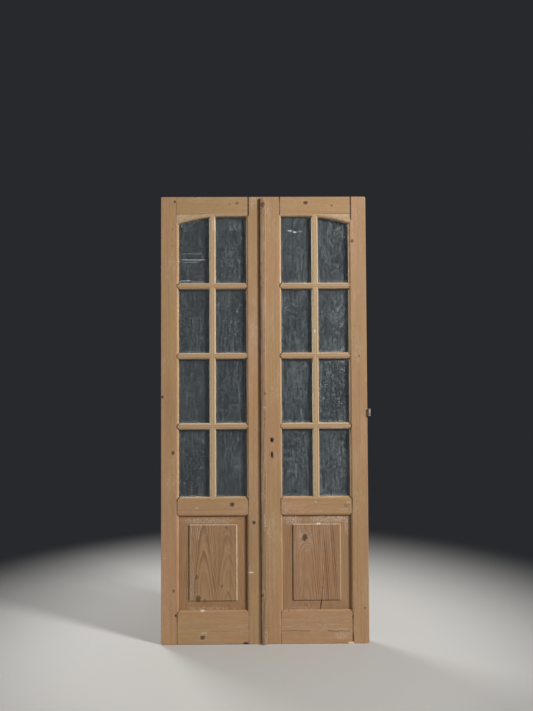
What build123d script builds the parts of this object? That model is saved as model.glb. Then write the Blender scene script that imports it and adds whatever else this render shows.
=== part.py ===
from build123d import *
import os
from math import sin, radians, sqrt

# Pair of tall glazed pine door leaves under one low arch, in millimetres.
# The frame: X runs across the pair from its centre, the front faces -Y, and Z rises from the foot.
# One leaf is drawn on the right of the centre and mirrored for the left.

# Leaf framework
leaf_height = 2375.0
leaf_thickness = 44.5
hinge_stile_width = 82.0
meeting_stile_width = 83.25
opening_width = 384.0
top_rail_height = 104.5
lock_rail_height = 98.0
bottom_rail_height = 177.0
panel_opening_height = 494.5
corner_radius = 8.0
foot_corner_radius = 14.0
arris = 1.2

# Low arch cut in each top rail
crown_run = 117.0
arch_radius = 850.0

# Moulding worked along the inner edges of the framework and bars
moulding_width = 10.0
moulding_step = 1.2
moulding_ledge = 1.0
waste_margin = 1.0

# Glazing
bar_width = 33.0
pane_rows = 4
glass_setback = 20.0
glass_thickness = 3.0
glass_play = 1.5
bead_width = 9.5
bead_depth = 13.0
bead_chamfer = 4.0
bead_slope = 45.0
saw_cut = 0.3

# Raised and fielded panel
panel_setback = 15.0
tongue_thickness = 10.0
groove_depth = 12.0
panel_play = 2.0
field_margin_side = 53.5
field_margin_end = 45.5
field_rise = 7.5
field_step = 5.0
field_slope = 45.0

# Mortise and tenon joints
tenon_thickness = 14.0
tenon_inset = 14.0
bottom_tenon_lift = 30.0
stub_length = 48.0
bar_stub_length = 18.0
wedge_length = 52.0
wedge_thickness = 5.0

# Rebated meeting edges and the cover strip
meeting_gap = 2.5
rebate_lap = 12.0
rebate_line = -4.0
strip_width = 34.0
strip_height = 10.0
strip_round = 5.0
strip_offset = 1.0
strip_top_gap = 10.0
strip_clearance = 0.5
nail_count = 7
nail_radius = 1.2
nail_length = 20.0
nail_head_radius = 2.2
nail_end_margin = 90.0
nail_inset = 5.5

# Half of a lift-off hinge left on the right leaf
hinge_height = 1216.0
knuckle_length = 38.0
knuckle_radius = 6.5
knuckle_bore_radius = 4.0
knuckle_reach = 9.5
flap_thickness = 2.5
flap_width = 32.0
hinge_screw_rise = 11.0
screw_head_radius = 4.0
screw_shank_radius = 2.0
screw_head_height = 2.0
screw_length = 24.0

# Mortise lock in the right meeting stile
lock_height = 1072.0
lock_backset = 32.75
lock_across = 8.5
key_drop = 70.0
case_depth = 60.0
case_thickness = 16.5
case_above = 35.0
case_below = 45.0
case_wall = 2.0
case_play = 0.3
forend_thickness = 3.0
forend_width = 20.0
forend_margin = 20.0
forend_screw_inset = 9.0
spindle_hole_width = 14.0
spindle_hole_height = 20.0
spindle_hole_round = 2.0
spindle_square = 8.0
hub_radius = 8.5
hub_clearance = 0.06
horn_width = 8.0
horn_length = 20.0
horn_thickness = 5.0
follower_turn = 30.0
latch_thickness = 11.5
latch_height = 16.0
latch_length = 20.0
latch_bevel = 9.0
latch_arm = 5.0
latch_plate = 4.0
latch_play = 0.5
bolt_drop = 48.0
bolt_thickness = 9.0
bolt_height = 24.0
bolt_length = 22.0
bolt_tail = 29.0
bolt_travel = 14.0
talon_width = 14.0
talon_height = 6.0
keyhole_radius = 5.0
keyhole_slot = 5.0
keyhole_tail = 24.0
bolt_clearance = 0.3

# Strike plate in the left meeting stile
strike_thickness = 2.5
strike_margin = 18.0
strike_screw_inset = 8.0
pocket_play = 1.0
pocket_extra = 3.0

# Places worked out from the sizes above
front = -leaf_thickness / 2
back = leaf_thickness / 2
shoulder_in = meeting_stile_width
shoulder_out = shoulder_in + opening_width
edge_out = shoulder_out + hinge_stile_width
bar_line = (shoulder_in + shoulder_out) / 2
rib_half = bar_width / 2 - moulding_width
panel_bottom = bottom_rail_height
panel_top = panel_bottom + panel_opening_height
glass_bottom = panel_top + lock_rail_height
crown = leaf_height - top_rail_height
row_pitch = (crown - glass_bottom) / pane_rows
bar_heights = [glass_bottom + row_pitch * row for row in range(1, pane_rows)]
arch_start = shoulder_in + crown_run
round_radius = moulding_width - moulding_ledge
glass_front = front + glass_setback
glass_back = glass_front + glass_thickness
groove_front = front + panel_setback
groove_back = groove_front + tongue_thickness
near_edge = rebate_lap / 2 + meeting_gap / 2
far_edge = rebate_lap / 2 - meeting_gap / 2
tenon_half = tenon_thickness / 2
rail_tenons = [
    (bottom_tenon_lift, panel_bottom - moulding_width - tenon_inset),
    (panel_top + tenon_inset, glass_bottom - tenon_inset),
    (crown + moulding_width + tenon_inset, leaf_height - 2 * tenon_inset),
]
spindle_line = near_edge + lock_backset
key_height = lock_height - key_drop
bolt_height_line = lock_height - bolt_drop
latch_travel = horn_length * sin(radians(follower_turn))
case_start = near_edge + forend_thickness
case_end = case_start + case_depth
case_low = key_height - case_below
case_high = lock_height + case_above
case_front = lock_across - case_thickness / 2
case_back = lock_across + case_thickness / 2
knuckle_line = edge_out + knuckle_reach
knuckle_depth = front + flap_thickness - knuckle_radius

ABOUT = (Align.CENTER, Align.CENTER, Align.MAX)
LEAVES = (("left", True), ("right", False))


def keep(piece, name, mirrored=False):
    """Label a finished piece and write it, mirrored to the left leaf where asked."""
    solid = mirror(piece.part, about=Plane.YZ) if mirrored else piece.part
    solid.label = name
    export_step(solid, f"parts/{name}.step")


def block(low, high, mode=Mode.ADD):
    """A box between two opposite corners."""
    middle = [(a + b) / 2 for a, b in zip(low, high)]
    with Locations(tuple(middle)):
        Box(*[b - a for a, b in zip(low, high)], mode=mode)


def depth(place):
    """The upright drawing plane at a place through the leaf's thickness."""
    return Plane.XZ.offset(-place)


def across(place):
    """The plane square to X in which a rail's section is drawn, height first."""
    return Plane(origin=(place, 0, 0), x_dir=(0, 0, 1), z_dir=(-1, 0, 0))


def arch_height(place, offset=0.0):
    """Height of the arched edge over a place, moved outwards by an offset."""
    reach = arch_radius + offset
    run = max(place - arch_start, 0.0)
    return crown - arch_radius + sqrt(reach**2 - run**2)


def moulded_end(place, outward):
    """The moulded edge of a section, from the face to the back, with its step and quarter round."""
    step = front + moulding_step
    ledge = place + outward * moulding_ledge
    tip = place + outward * moulding_width
    Polyline((place, front), (place, step), (ledge, step))
    CenterArc((ledge, step + round_radius), round_radius, 270 if outward > 0 else 180, 90)
    Line((tip, step + round_radius), (tip, back))
    return tip


def plain_end(place, outward):
    """The square edge of a section, with its arrises taken off."""
    inner = place - outward * arris
    Polyline((inner, front), (place, front + arris), (place, back - arris), (inner, back))
    return inner


def member_section(low, high, low_moulded, high_moulded):
    """Section of a framework member between two edges, measured across it and through the leaf."""
    face_low = low if low_moulded else low + arris
    face_high = high if high_moulded else high - arris
    with BuildLine() as outline:
        Line((face_low, front), (face_high, front))
        back_low = moulded_end(low, -1) if low_moulded else plain_end(low, -1)
        back_high = moulded_end(high, 1) if high_moulded else plain_end(high, 1)
        Line((back_low, back), (back_high, back))
    make_face(outline.edges())


def mitred_outline(low, high, low_mitred, high_mitred):
    """Front outline of a rail or bar between the stiles, mitred where its edge is moulded."""
    low_cut = moulding_width if low_mitred else 0.0
    high_cut = moulding_width if high_mitred else 0.0
    with BuildLine() as outline:
        Polyline(
            (shoulder_in, low + low_cut),
            (shoulder_in + low_cut, low),
            (shoulder_out - low_cut, low),
            (shoulder_out, low + low_cut),
            (shoulder_out, high - high_cut),
            (shoulder_out - high_cut, high),
            (shoulder_in + high_cut, high),
            (shoulder_in, high - high_cut),
            close=True,
        )
    make_face(outline.edges())


def plain_footed_outline(high):
    """Front outline of the bottom rail, mitred at its upper corners only."""
    with BuildLine() as outline:
        Polyline(
            (shoulder_in, 0),
            (shoulder_out, 0),
            (shoulder_out, high - moulding_width),
            (shoulder_out - moulding_width, high),
            (shoulder_in + moulding_width, high),
            (shoulder_in, high - moulding_width),
            close=True,
        )
    make_face(outline.edges())


def arched_outline():
    """Front outline of the top rail, with the arch below and a mitre at each end of it."""
    inner = shoulder_in + moulding_width
    outer = shoulder_out - moulding_width
    halfway = (arch_start + outer) / 2
    with BuildLine() as outline:
        Line((inner, crown), (arch_start, crown))
        ThreePointArc((arch_start, crown), (halfway, arch_height(halfway)), (outer, arch_height(outer)))
        Polyline(
            (outer, arch_height(outer)),
            (shoulder_out, arch_height(shoulder_out, moulding_width)),
            (shoulder_out, leaf_height),
            (shoulder_in, leaf_height),
            (shoulder_in, crown + moulding_width),
            (inner, crown),
        )
    make_face(outline.edges())


def upright_outline():
    """Front outline of the upright bar, mitred into the lock rail and the arch."""
    half = bar_width / 2
    left, right = bar_line - half, bar_line + half
    rib_left, rib_right = bar_line - rib_half, bar_line + rib_half
    with BuildLine() as outline:
        Polyline(
            (rib_left, glass_bottom - moulding_width),
            (rib_right, glass_bottom - moulding_width),
            (right, glass_bottom),
            (right, arch_height(right)),
            (rib_right, arch_height(rib_right, moulding_width)),
            (rib_left, arch_height(rib_left, moulding_width)),
            (left, arch_height(left)),
            (left, glass_bottom),
            close=True,
        )
    make_face(outline.edges())


def under_arch(offset):
    """Everything under the arched edge, moved outwards by an offset."""
    start = shoulder_in - hinge_stile_width
    end = shoulder_out + hinge_stile_width / 2
    halfway = (arch_start + end) / 2
    with BuildLine() as outline:
        Line((start, crown + offset), (arch_start, crown + offset))
        ThreePointArc(
            (arch_start, crown + offset),
            (halfway, arch_height(halfway, offset)),
            (end, arch_height(end, offset)),
        )
        Polyline((end, arch_height(end, offset)), (end, 0), (start, 0), (start, crown + offset))
    make_face(outline.edges())


def cut_members_from_stile():
    """Take the mitred ends of the rails and cross bars out of a stile's moulded edge."""
    with BuildSketch(Plane.XZ) as ends:
        plain_footed_outline(panel_bottom)
        mitred_outline(panel_top, glass_bottom, True, True)
        arched_outline()
        for height in bar_heights:
            mitred_outline(height - bar_width / 2, height + bar_width / 2, True, True)
    extrude(ends.sketch, amount=leaf_thickness, both=True, mode=Mode.SUBTRACT)


def cut_stile_edge(wall, tip):
    """Rebate a stile's inner edge for the glass and groove it for the panel."""
    low, high = sorted((wall, tip))
    rebate_top = crown + 2 * moulding_width
    block((low, glass_front, glass_bottom - moulding_width), (high, back, rebate_top), Mode.SUBTRACT)
    outward = 1 if tip > wall else -1
    bottom = tip - outward * groove_depth
    low, high = sorted((bottom, tip))
    groove_low, groove_high = panel_bottom - moulding_width, panel_top + moulding_width
    block((low, groove_front, groove_low), (high, groove_back, groove_high), Mode.SUBTRACT)


def cut_stub_mortises(shoulder, into):
    """Blind mortises for the three cross bars in a stile."""
    for height in bar_heights:
        low, high = sorted((shoulder, shoulder + into * bar_stub_length))
        block(
            (low, -tenon_half, height - rib_half),
            (high, tenon_half, height + rib_half),
            Mode.SUBTRACT,
        )


def wedge_outline(low, high):
    """Outlines of the two wedges that lock a through tenon, one above it and one below."""
    start = edge_out - wedge_length
    for edge, lean in ((high, wedge_thickness), (low, -wedge_thickness)):
        with BuildLine() as outline:
            Polyline((start, edge), (edge_out, edge), (edge_out, edge + lean), close=True)
        make_face(outline.edges())


def fastener(place, mode=Mode.ADD, shank=None, length=None, head=None):
    """A countersunk screw or nail, or with Mode.SUBTRACT its seat, driven in from a plane."""
    shank = shank or screw_shank_radius
    head = head or screw_head_radius
    with Locations(place):
        Cone(shank, head, screw_head_height, align=ABOUT, mode=mode)
        Cylinder(shank, length or screw_length, align=ABOUT, mode=mode)


def hinge_screw_planes():
    """Where the hinge's screws go in, facing out of the right leaf's edge."""
    middle = front + flap_thickness + flap_width / 2
    rises = (-hinge_screw_rise, hinge_screw_rise)
    return [Plane(origin=(edge_out, middle, hinge_height + rise), z_dir=(1, 0, 0)) for rise in rises]


def forend_screw_planes():
    """Where the forend's screws go in, facing out of the right leaf's meeting edge."""
    reach = forend_margin - forend_screw_inset
    heights = (case_low - reach, case_high + reach)
    return [Plane(origin=(near_edge, lock_across, height), z_dir=(-1, 0, 0)) for height in heights]


def strike_ends():
    """Lowest and highest point of the strike plate."""
    low = bolt_height_line - bolt_height / 2 - strike_margin
    high = lock_height + latch_height / 2 + strike_margin
    return low, high


def strike_screw_planes():
    """Where the strike's screws go in, facing out of the left leaf's meeting edge."""
    low, high = strike_ends()
    heights = (low + strike_screw_inset, high - strike_screw_inset)
    return [Plane(origin=(far_edge, lock_across, height), z_dir=(1, 0, 0)) for height in heights]


def nail_planes():
    """Where the cover strip's nails go in, evenly spaced up its face."""
    high = leaf_height - strip_top_gap - nail_end_margin
    pitch = (high - nail_end_margin) / (nail_count - 1)
    place = nail_inset - far_edge
    face = front - strip_height
    heights = [nail_end_margin + pitch * step for step in range(nail_count)]
    return [Plane(origin=(place, face, height), x_dir=(1, 0, 0), z_dir=(0, -1, 0)) for height in heights]


def keyhole_outline():
    """A round hole for the key's stem with a slot below it for the bit."""
    with Locations((spindle_line, key_height)):
        Circle(keyhole_radius)
    with Locations((spindle_line, key_height - keyhole_tail / 2)):
        Rectangle(keyhole_slot, keyhole_tail)


def pocket(height, thickness, tall, travel, mode=Mode.SUBTRACT):
    """Space in the left meeting edge for a bolt at full travel."""
    half, rise = thickness / 2 + pocket_play, tall / 2 + pocket_play
    depth_in = near_edge - travel - pocket_extra
    block(
        (depth_in, lock_across - half, height - rise),
        (far_edge, lock_across + half, height + rise),
        mode,
    )


def cut_bolt_pockets():
    """Pockets for the latch and the dead bolt."""
    pocket(lock_height, latch_thickness, latch_height, latch_travel)
    pocket(bolt_height_line, bolt_thickness, bolt_height, bolt_travel)


def cut_bolt_windows(start, end):
    """Windows for the two bolts through a plate or wall square to X."""
    for height, thick, tall in (
        (lock_height, latch_thickness, latch_height),
        (bolt_height_line, bolt_thickness, bolt_height),
    ):
        half, rise = thick / 2 + bolt_clearance, tall / 2 + bolt_clearance
        block(
            (start, lock_across - half, height - rise),
            (end, lock_across + half, height + rise),
            Mode.SUBTRACT,
        )


def hinge_stile():
    """Outer stile, with through mortises opened at its edge for the wedges."""
    with BuildPart() as stile:
        with BuildSketch(Plane.XY):
            member_section(shoulder_out, edge_out, True, False)
        extrude(amount=leaf_height)
        cut_stile_edge(shoulder_out, shoulder_out - moulding_width)
        cut_members_from_stile()
        with BuildSketch(Plane.XZ):
            for low, high in rail_tenons:
                with Locations(((shoulder_out + edge_out) / 2, (low + high) / 2)):
                    Rectangle(hinge_stile_width, high - low)
                wedge_outline(low, high)
        extrude(amount=tenon_half, both=True, mode=Mode.SUBTRACT)
        cut_stub_mortises(shoulder_out, 1)
        head = stile.edges().filter_by(Axis.Y).group_by(Axis.Z)[-1].sort_by(Axis.X)[-1]
        fillet(head, corner_radius)
        foot = stile.edges().filter_by(Axis.Y).group_by(Axis.Z)[0].sort_by(Axis.X)[-1]
        fillet(foot, foot_corner_radius)
    return stile


def meeting_stile(front_edge, back_edge, step):
    """Inner stile with its meeting edge rebated: one part of the edge stands further out."""
    with BuildPart() as stile:
        with BuildSketch(Plane.XY):
            with BuildLine():
                Line((front_edge, front), (shoulder_in, front))
                tip = moulded_end(shoulder_in, 1)
                Polyline(
                    (tip, back),
                    (back_edge, back),
                    (back_edge, step),
                    (front_edge, step),
                    (front_edge, front),
                )
            make_face()
        extrude(amount=leaf_height)
        cut_stile_edge(shoulder_in, shoulder_in + moulding_width)
        cut_members_from_stile()
        stub_end = shoulder_in - stub_length
        for low, high in rail_tenons:
            block((stub_end, -tenon_half, low), (shoulder_in, tenon_half, high), Mode.SUBTRACT)
        cut_stub_mortises(shoulder_in, -1)
    return stile


def left_meeting_stile():
    """Left meeting stile, drawn mirrored: its back lip passes the centre and holds the strike."""
    stile = meeting_stile(near_edge, -far_edge, rebate_line + meeting_gap / 2)
    with BuildPart() as fitted:
        mirror(stile.part, about=Plane.YZ)
        cut_bolt_pockets()
        low, high = strike_ends()
        half = forend_width / 2
        block(
            (far_edge - strike_thickness, lock_across - half, low),
            (far_edge, lock_across + half, high),
            Mode.SUBTRACT,
        )
        for place in strike_screw_planes():
            fastener(place, Mode.SUBTRACT)
    return fitted


def right_meeting_stile():
    """Right meeting stile: its front lip passes the centre and it holds the lock."""
    stile = meeting_stile(-far_edge, near_edge, rebate_line - meeting_gap / 2)
    with BuildPart() as fitted:
        add(stile.part)
        block(
            (near_edge, case_front - case_play, case_low - case_play),
            (case_end + case_play, case_back + case_play, case_high + case_play),
            Mode.SUBTRACT,
        )
        half = forend_width / 2
        block(
            (near_edge, lock_across - half, case_low - forend_margin),
            (case_start, lock_across + half, case_high + forend_margin),
            Mode.SUBTRACT,
        )
        with BuildSketch(Plane.XZ):
            with Locations((spindle_line, lock_height)):
                RectangleRounded(spindle_hole_width, spindle_hole_height, spindle_hole_round)
            keyhole_outline()
        extrude(amount=leaf_thickness, both=True, mode=Mode.SUBTRACT)
        for place in forend_screw_planes():
            fastener(place, Mode.SUBTRACT)
        for place in nail_planes():
            fastener(place, Mode.SUBTRACT, nail_radius, nail_length, nail_head_radius)
    return fitted


def right_hinge_stile():
    """Right hinge stile, with the seat of the hinge flap let into its edge."""
    stile = hinge_stile()
    with BuildPart() as fitted:
        add(stile.part)
        half = knuckle_length / 2
        block(
            (edge_out - flap_thickness, front, hinge_height - half),
            (edge_out, front + flap_thickness + flap_width, hinge_height + half),
            Mode.SUBTRACT,
        )
        for place in hinge_screw_planes():
            fastener(place, Mode.SUBTRACT)
    return fitted


def add_tenons(low, high):
    """A through tenon for the hinge stile and a stub tenon for the meeting stile."""
    block((shoulder_out, -tenon_half, low), (edge_out, tenon_half, high))
    block((shoulder_in - stub_length, -tenon_half, low), (shoulder_in, tenon_half, high))


def cut_groove(edge, inward):
    """Groove a rail's edge for the panel."""
    low, high = sorted((edge, edge + inward * groove_depth))
    block((shoulder_in, groove_front, low), (shoulder_out, groove_back, high), Mode.SUBTRACT)


def cut_upright_joint(inner, outer):
    """Mitre a rail's moulding for the upright bar and mortise the rail for its tenon."""
    with BuildSketch(Plane.XZ) as notch:
        upright_outline()
    extrude(notch.sketch, amount=leaf_thickness, both=True, mode=Mode.SUBTRACT)
    low, high = sorted((inner, outer))
    block((bar_line - rib_half, -tenon_half, low), (bar_line + rib_half, tenon_half, high), Mode.SUBTRACT)


def upright_tenons():
    """Lowest and highest points of the upright bar's two stub tenons."""
    foot = glass_bottom - moulding_width
    head = arch_height(bar_line, moulding_width)
    return (foot - bar_stub_length, foot), (head - moulding_width, head + bar_stub_length)


def bottom_rail():
    """Wide bottom rail, moulded and grooved along its upper edge."""
    with BuildPart() as rail:
        with BuildSketch(across(shoulder_out)):
            member_section(0, panel_bottom - moulding_width, False, True)
        extrude(amount=opening_width)
        with BuildSketch(Plane.XZ):
            plain_footed_outline(panel_bottom)
        extrude(amount=leaf_thickness, both=True, mode=Mode.INTERSECT)
        cut_groove(panel_bottom, -1)
        add_tenons(*rail_tenons[0])
    return rail


def lock_rail():
    """Middle rail, grooved below for the panel and rebated above for the glass."""
    with BuildPart() as rail:
        with BuildSketch(across(shoulder_out)):
            member_section(panel_top + moulding_width, glass_bottom - moulding_width, True, True)
        extrude(amount=opening_width)
        with BuildSketch(Plane.XZ):
            mitred_outline(panel_top, glass_bottom, True, True)
        extrude(amount=leaf_thickness, both=True, mode=Mode.INTERSECT)
        cut_groove(panel_top, 1)
        block(
            (shoulder_in, glass_front, glass_bottom - moulding_width),
            (shoulder_out, back, glass_bottom),
            Mode.SUBTRACT,
        )
        cut_upright_joint(*upright_tenons()[0])
        add_tenons(*rail_tenons[1])
    return rail


def moulding_cutter():
    """Section of the waste that the moulding takes off an edge at the crown's height."""
    step = front + moulding_step
    with BuildLine() as outline:
        Polyline(
            (crown, step + round_radius),
            (crown - waste_margin, step + round_radius),
            (crown - waste_margin, front - waste_margin),
            (crown + moulding_width, front - waste_margin),
            (crown + moulding_width, step),
            (crown + round_radius, step),
        )
        CenterArc((crown + round_radius, step + round_radius), round_radius, 180, 90)
    make_face(outline.edges())


def top_rail():
    """Top rail sawn to the arch, with the moulding run along the curve."""
    start = shoulder_in - moulding_width
    end = shoulder_out + moulding_width
    halfway = (arch_start + end) / 2
    middle = ((start + end) / 2, leaf_height)
    with BuildPart() as rail:
        with BuildSketch(Plane.XZ):
            with Locations(middle):
                Rectangle(end - start, 2 * top_rail_height, align=(Align.CENTER, Align.MAX))
        extrude(amount=leaf_thickness / 2, both=True)
        with BuildSketch(Plane.XZ):
            under_arch(0)
        extrude(amount=leaf_thickness, both=True, mode=Mode.SUBTRACT)
        with BuildLine() as edge_path:
            Line((start, 0, crown), (arch_start, 0, crown))
            ThreePointArc(
                (arch_start, 0, crown),
                (halfway, 0, arch_height(halfway)),
                (end, 0, arch_height(end)),
            )
        with BuildSketch(across(start)):
            moulding_cutter()
        sweep(path=edge_path.wire(), mode=Mode.SUBTRACT)
        with BuildSketch(depth(back)):
            under_arch(moulding_width)
        extrude(amount=back - glass_front, mode=Mode.SUBTRACT)
        with BuildSketch(Plane.XZ):
            arched_outline()
        extrude(amount=leaf_thickness, both=True, mode=Mode.INTERSECT)
        cut_upright_joint(*upright_tenons()[1])
        add_tenons(*rail_tenons[2])
    return rail


def cross_bar(height):
    """Cross bar, halved over the upright, with its mouldings mitred at the crossing."""
    low, high = height - bar_width / 2, height + bar_width / 2
    half = bar_width / 2
    with BuildPart() as bar:
        with BuildSketch(across(shoulder_out)):
            member_section(height - rib_half, height + rib_half, True, True)
        extrude(amount=opening_width)
        with BuildSketch(Plane.XZ):
            mitred_outline(low, high, True, True)
        extrude(amount=leaf_thickness, both=True, mode=Mode.INTERSECT)
        with BuildSketch(Plane.XZ):
            for edge, rib in ((low, height - rib_half), (high, height + rib_half)):
                with BuildLine():
                    Polyline(
                        (bar_line - half, edge),
                        (bar_line - rib_half, rib),
                        (bar_line + rib_half, rib),
                        (bar_line + half, edge),
                        close=True,
                    )
                make_face()
        extrude(amount=leaf_thickness, both=True, mode=Mode.SUBTRACT)
        block((shoulder_in, glass_front, low), (shoulder_out, back, height - rib_half), Mode.SUBTRACT)
        block((shoulder_in, glass_front, height + rib_half), (shoulder_out, back, high), Mode.SUBTRACT)
        block((bar_line - rib_half, glass_front, low), (bar_line + rib_half, back, high), Mode.SUBTRACT)
        for start, end in (
            (shoulder_in - bar_stub_length, shoulder_in),
            (shoulder_out, shoulder_out + bar_stub_length),
        ):
            block((start, -tenon_half, height - rib_half), (end, tenon_half, height + rib_half))
    return bar


def upright_bar(cross_bars):
    """Upright bar, run through from the lock rail to the arch behind the cross bars."""
    half = bar_width / 2
    foot, head = upright_tenons()
    with BuildPart() as bar:
        with BuildSketch(Plane.XY.offset(foot[1])):
            member_section(bar_line - rib_half, bar_line + rib_half, True, True)
        extrude(amount=head[1] - foot[1])
        with BuildSketch(Plane.XZ):
            upright_outline()
        extrude(amount=leaf_thickness, both=True, mode=Mode.INTERSECT)
        block((bar_line - half, glass_front, foot[0]), (bar_line - rib_half, back, head[1]), Mode.SUBTRACT)
        block((bar_line + rib_half, glass_front, foot[0]), (bar_line + half, back, head[1]), Mode.SUBTRACT)
        for low, high in upright_tenons():
            block((bar_line - rib_half, -tenon_half, low), (bar_line + rib_half, tenon_half, high))
        for cross in cross_bars:
            add(cross.part, mode=Mode.SUBTRACT)
    return bar


def panel():
    """Raised and fielded panel, with its thinned edge carried in the grooves."""
    edge = groove_depth - panel_play
    low, high = panel_bottom - edge, panel_top + edge
    middle = (panel_bottom + panel_top) / 2
    width = opening_width - 2 * moulding_width
    field_width = width - 2 * field_margin_side
    field_height = panel_opening_height - 2 * field_margin_end
    field_foot = groove_front - field_rise + field_step
    with BuildPart() as board:
        block(
            (shoulder_in + moulding_width - edge, groove_front, low),
            (shoulder_out - moulding_width + edge, groove_back, high),
        )
        with BuildSketch(depth(groove_front)):
            with Locations((bar_line, middle)):
                Rectangle(width, panel_opening_height)
        with BuildSketch(depth(field_foot)):
            with Locations((bar_line, middle)):
                Rectangle(field_width, field_height)
        loft()
        with BuildSketch(depth(field_foot)):
            with Locations((bar_line, middle)):
                Rectangle(field_width, field_height)
        extrude(amount=field_step, taper=field_slope)
    return board


def pane_walls(row, column):
    """Left, right, lower and upper rebate walls round one pane of glass."""
    left = shoulder_in if column == 0 else bar_line + rib_half
    right = bar_line - rib_half if column == 0 else shoulder_out
    low = glass_bottom - moulding_width if row == 0 else bar_heights[row - 1] + rib_half
    high = leaf_height if row == pane_rows - 1 else bar_heights[row] - rib_half
    return left, right, low, high


def pane_outline(row, column, inset):
    """Outline of one pane's rebate, drawn in by an inset, with the arch over the top row."""
    left, right, low, high = pane_walls(row, column)
    width, height = right - left - 2 * inset, high - low - 2 * inset
    with Locations(((left + right) / 2, low + inset)):
        Rectangle(width, height, align=(Align.CENTER, Align.MIN))
    if row == pane_rows - 1:
        with BuildSketch(mode=Mode.PRIVATE) as below:
            under_arch(moulding_width - inset)
        add(below.sketch, mode=Mode.INTERSECT)


def pane(row, column):
    """Sheet of glass, clear of the rebate all round."""
    with BuildPart() as sheet:
        with BuildSketch(depth(glass_back)):
            pane_outline(row, column, glass_play)
        extrude(amount=glass_thickness)
    return sheet


def glazing_beads():
    """Wooden beads that hold the glass from behind, four to a pane, cut to length on a mitre."""
    with BuildPart() as beads:
        for row in range(pane_rows):
            for column in range(2):
                with BuildSketch(mode=Mode.PRIVATE) as sight:
                    pane_outline(row, column, bead_width)
                with BuildSketch(depth(glass_back + bead_depth)):
                    pane_outline(row, column, 0)
                    add(sight.sketch, mode=Mode.SUBTRACT)
                extrude(amount=bead_depth)
                with BuildSketch(depth(glass_back + bead_depth)):
                    pane_outline(row, column, bead_width - bead_chamfer)
                extrude(amount=bead_chamfer, taper=bead_slope, mode=Mode.SUBTRACT)
                cut_bead_mitres(row, column)
    return beads


def cut_bead_mitres(row, column):
    """Saw cuts at a pane's four corners that part its beads."""
    left, right, low, high = pane_walls(row, column)
    middle = glass_back + bead_depth / 2
    for place, outward in ((left, 1), (right, -1)):
        top = min(high, arch_height(place, moulding_width))
        for height, upward in ((low, 1), (top, -1)):
            corner = (place + outward * bead_width / 2, middle, height + upward * bead_width / 2)
            with Locations(Location(corner, (0, -45 * outward * upward, 0))):
                Box(3 * bead_width, bead_depth, saw_cut, mode=Mode.SUBTRACT)


def tenon_wedges():
    """Pairs of oak wedges driven in beside each through tenon."""
    with BuildPart() as wedges:
        with BuildSketch(Plane.XZ):
            for low, high in rail_tenons:
                wedge_outline(low, high)
        extrude(amount=tenon_half, both=True)
    return wedges


def astragal():
    """Cover strip nailed to the right leaf's lip and lapping over the left leaf."""
    middle = strip_offset - rebate_lap / 2
    low, high = middle - strip_width / 2, middle + strip_width / 2
    with BuildPart() as strip:
        block((low, front - strip_height, 0), (high, front, leaf_height - strip_top_gap))
        edges = strip.edges().filter_by(Axis.Z).group_by(Axis.Y)[0]
        fillet(edges, strip_round)
        block((low, front - strip_clearance, 0), (-far_edge, front, leaf_height), Mode.SUBTRACT)
        for place in nail_planes():
            fastener(place, Mode.SUBTRACT, nail_radius, nail_length, nail_head_radius)
    return strip


def astragal_nails():
    """Nails of the cover strip, heads flush with its face."""
    with BuildPart() as nails:
        for place in nail_planes():
            fastener(place, Mode.ADD, nail_radius, nail_length, nail_head_radius)
    return nails


def hinge_knuckle():
    """Upper half of a lift-off hinge: a flap in the edge, an arm and a bored barrel."""
    half = knuckle_length / 2
    low, high = hinge_height - half, hinge_height + half
    flap_end = front + flap_thickness + flap_width
    with BuildPart() as hinge:
        block((edge_out - flap_thickness, front, low), (edge_out, flap_end, high))
        block((edge_out, front, low), (knuckle_line, front + flap_thickness, high))
        with BuildSketch(Plane.XY.offset(low)):
            with Locations((knuckle_line, knuckle_depth)):
                Circle(knuckle_radius)
        extrude(amount=knuckle_length)
        with Locations((knuckle_line, knuckle_depth, hinge_height)):
            Cylinder(knuckle_bore_radius, knuckle_length, mode=Mode.SUBTRACT)
        for place in hinge_screw_planes():
            fastener(place, Mode.SUBTRACT)
    return hinge


def screws(places):
    """A group of like countersunk screws."""
    with BuildPart() as group:
        for place in places:
            fastener(place)
    return group


def lock_case():
    """Tray of the mortise lock: its floor, four walls and bolt windows."""
    inner_front = case_front + case_wall
    with BuildPart() as case:
        block((case_start, inner_front, case_low), (case_end, case_back, case_high))
        block(
            (case_start + case_wall, inner_front, case_low + case_wall),
            (case_end - case_wall, case_back - case_wall, case_high - case_wall),
            Mode.SUBTRACT,
        )
        cut_bolt_windows(case_start, case_start + case_wall)
        with BuildSketch(depth(case_back)):
            with Locations((spindle_line, lock_height)):
                Circle(hub_radius + hub_clearance)
            keyhole_outline()
        extrude(amount=case_wall, mode=Mode.SUBTRACT)
    return case


def lock_cap():
    """Cap plate that closes the lock's front."""
    with BuildPart() as cap:
        block((case_start, case_front, case_low), (case_end, case_front + case_wall, case_high))
        with BuildSketch(depth(case_front + case_wall)):
            with Locations((spindle_line, lock_height)):
                Circle(hub_radius + hub_clearance)
            keyhole_outline()
        extrude(amount=case_wall, mode=Mode.SUBTRACT)
    return cap


def lock_forend():
    """Plate let into the meeting edge, with a window for each bolt."""
    half = forend_width / 2
    with BuildPart() as plate:
        block(
            (near_edge, lock_across - half, case_low - forend_margin),
            (case_start, lock_across + half, case_high + forend_margin),
        )
        cut_bolt_windows(near_edge, case_start)
        for place in forend_screw_planes():
            fastener(place, Mode.SUBTRACT)
    return plate


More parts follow.
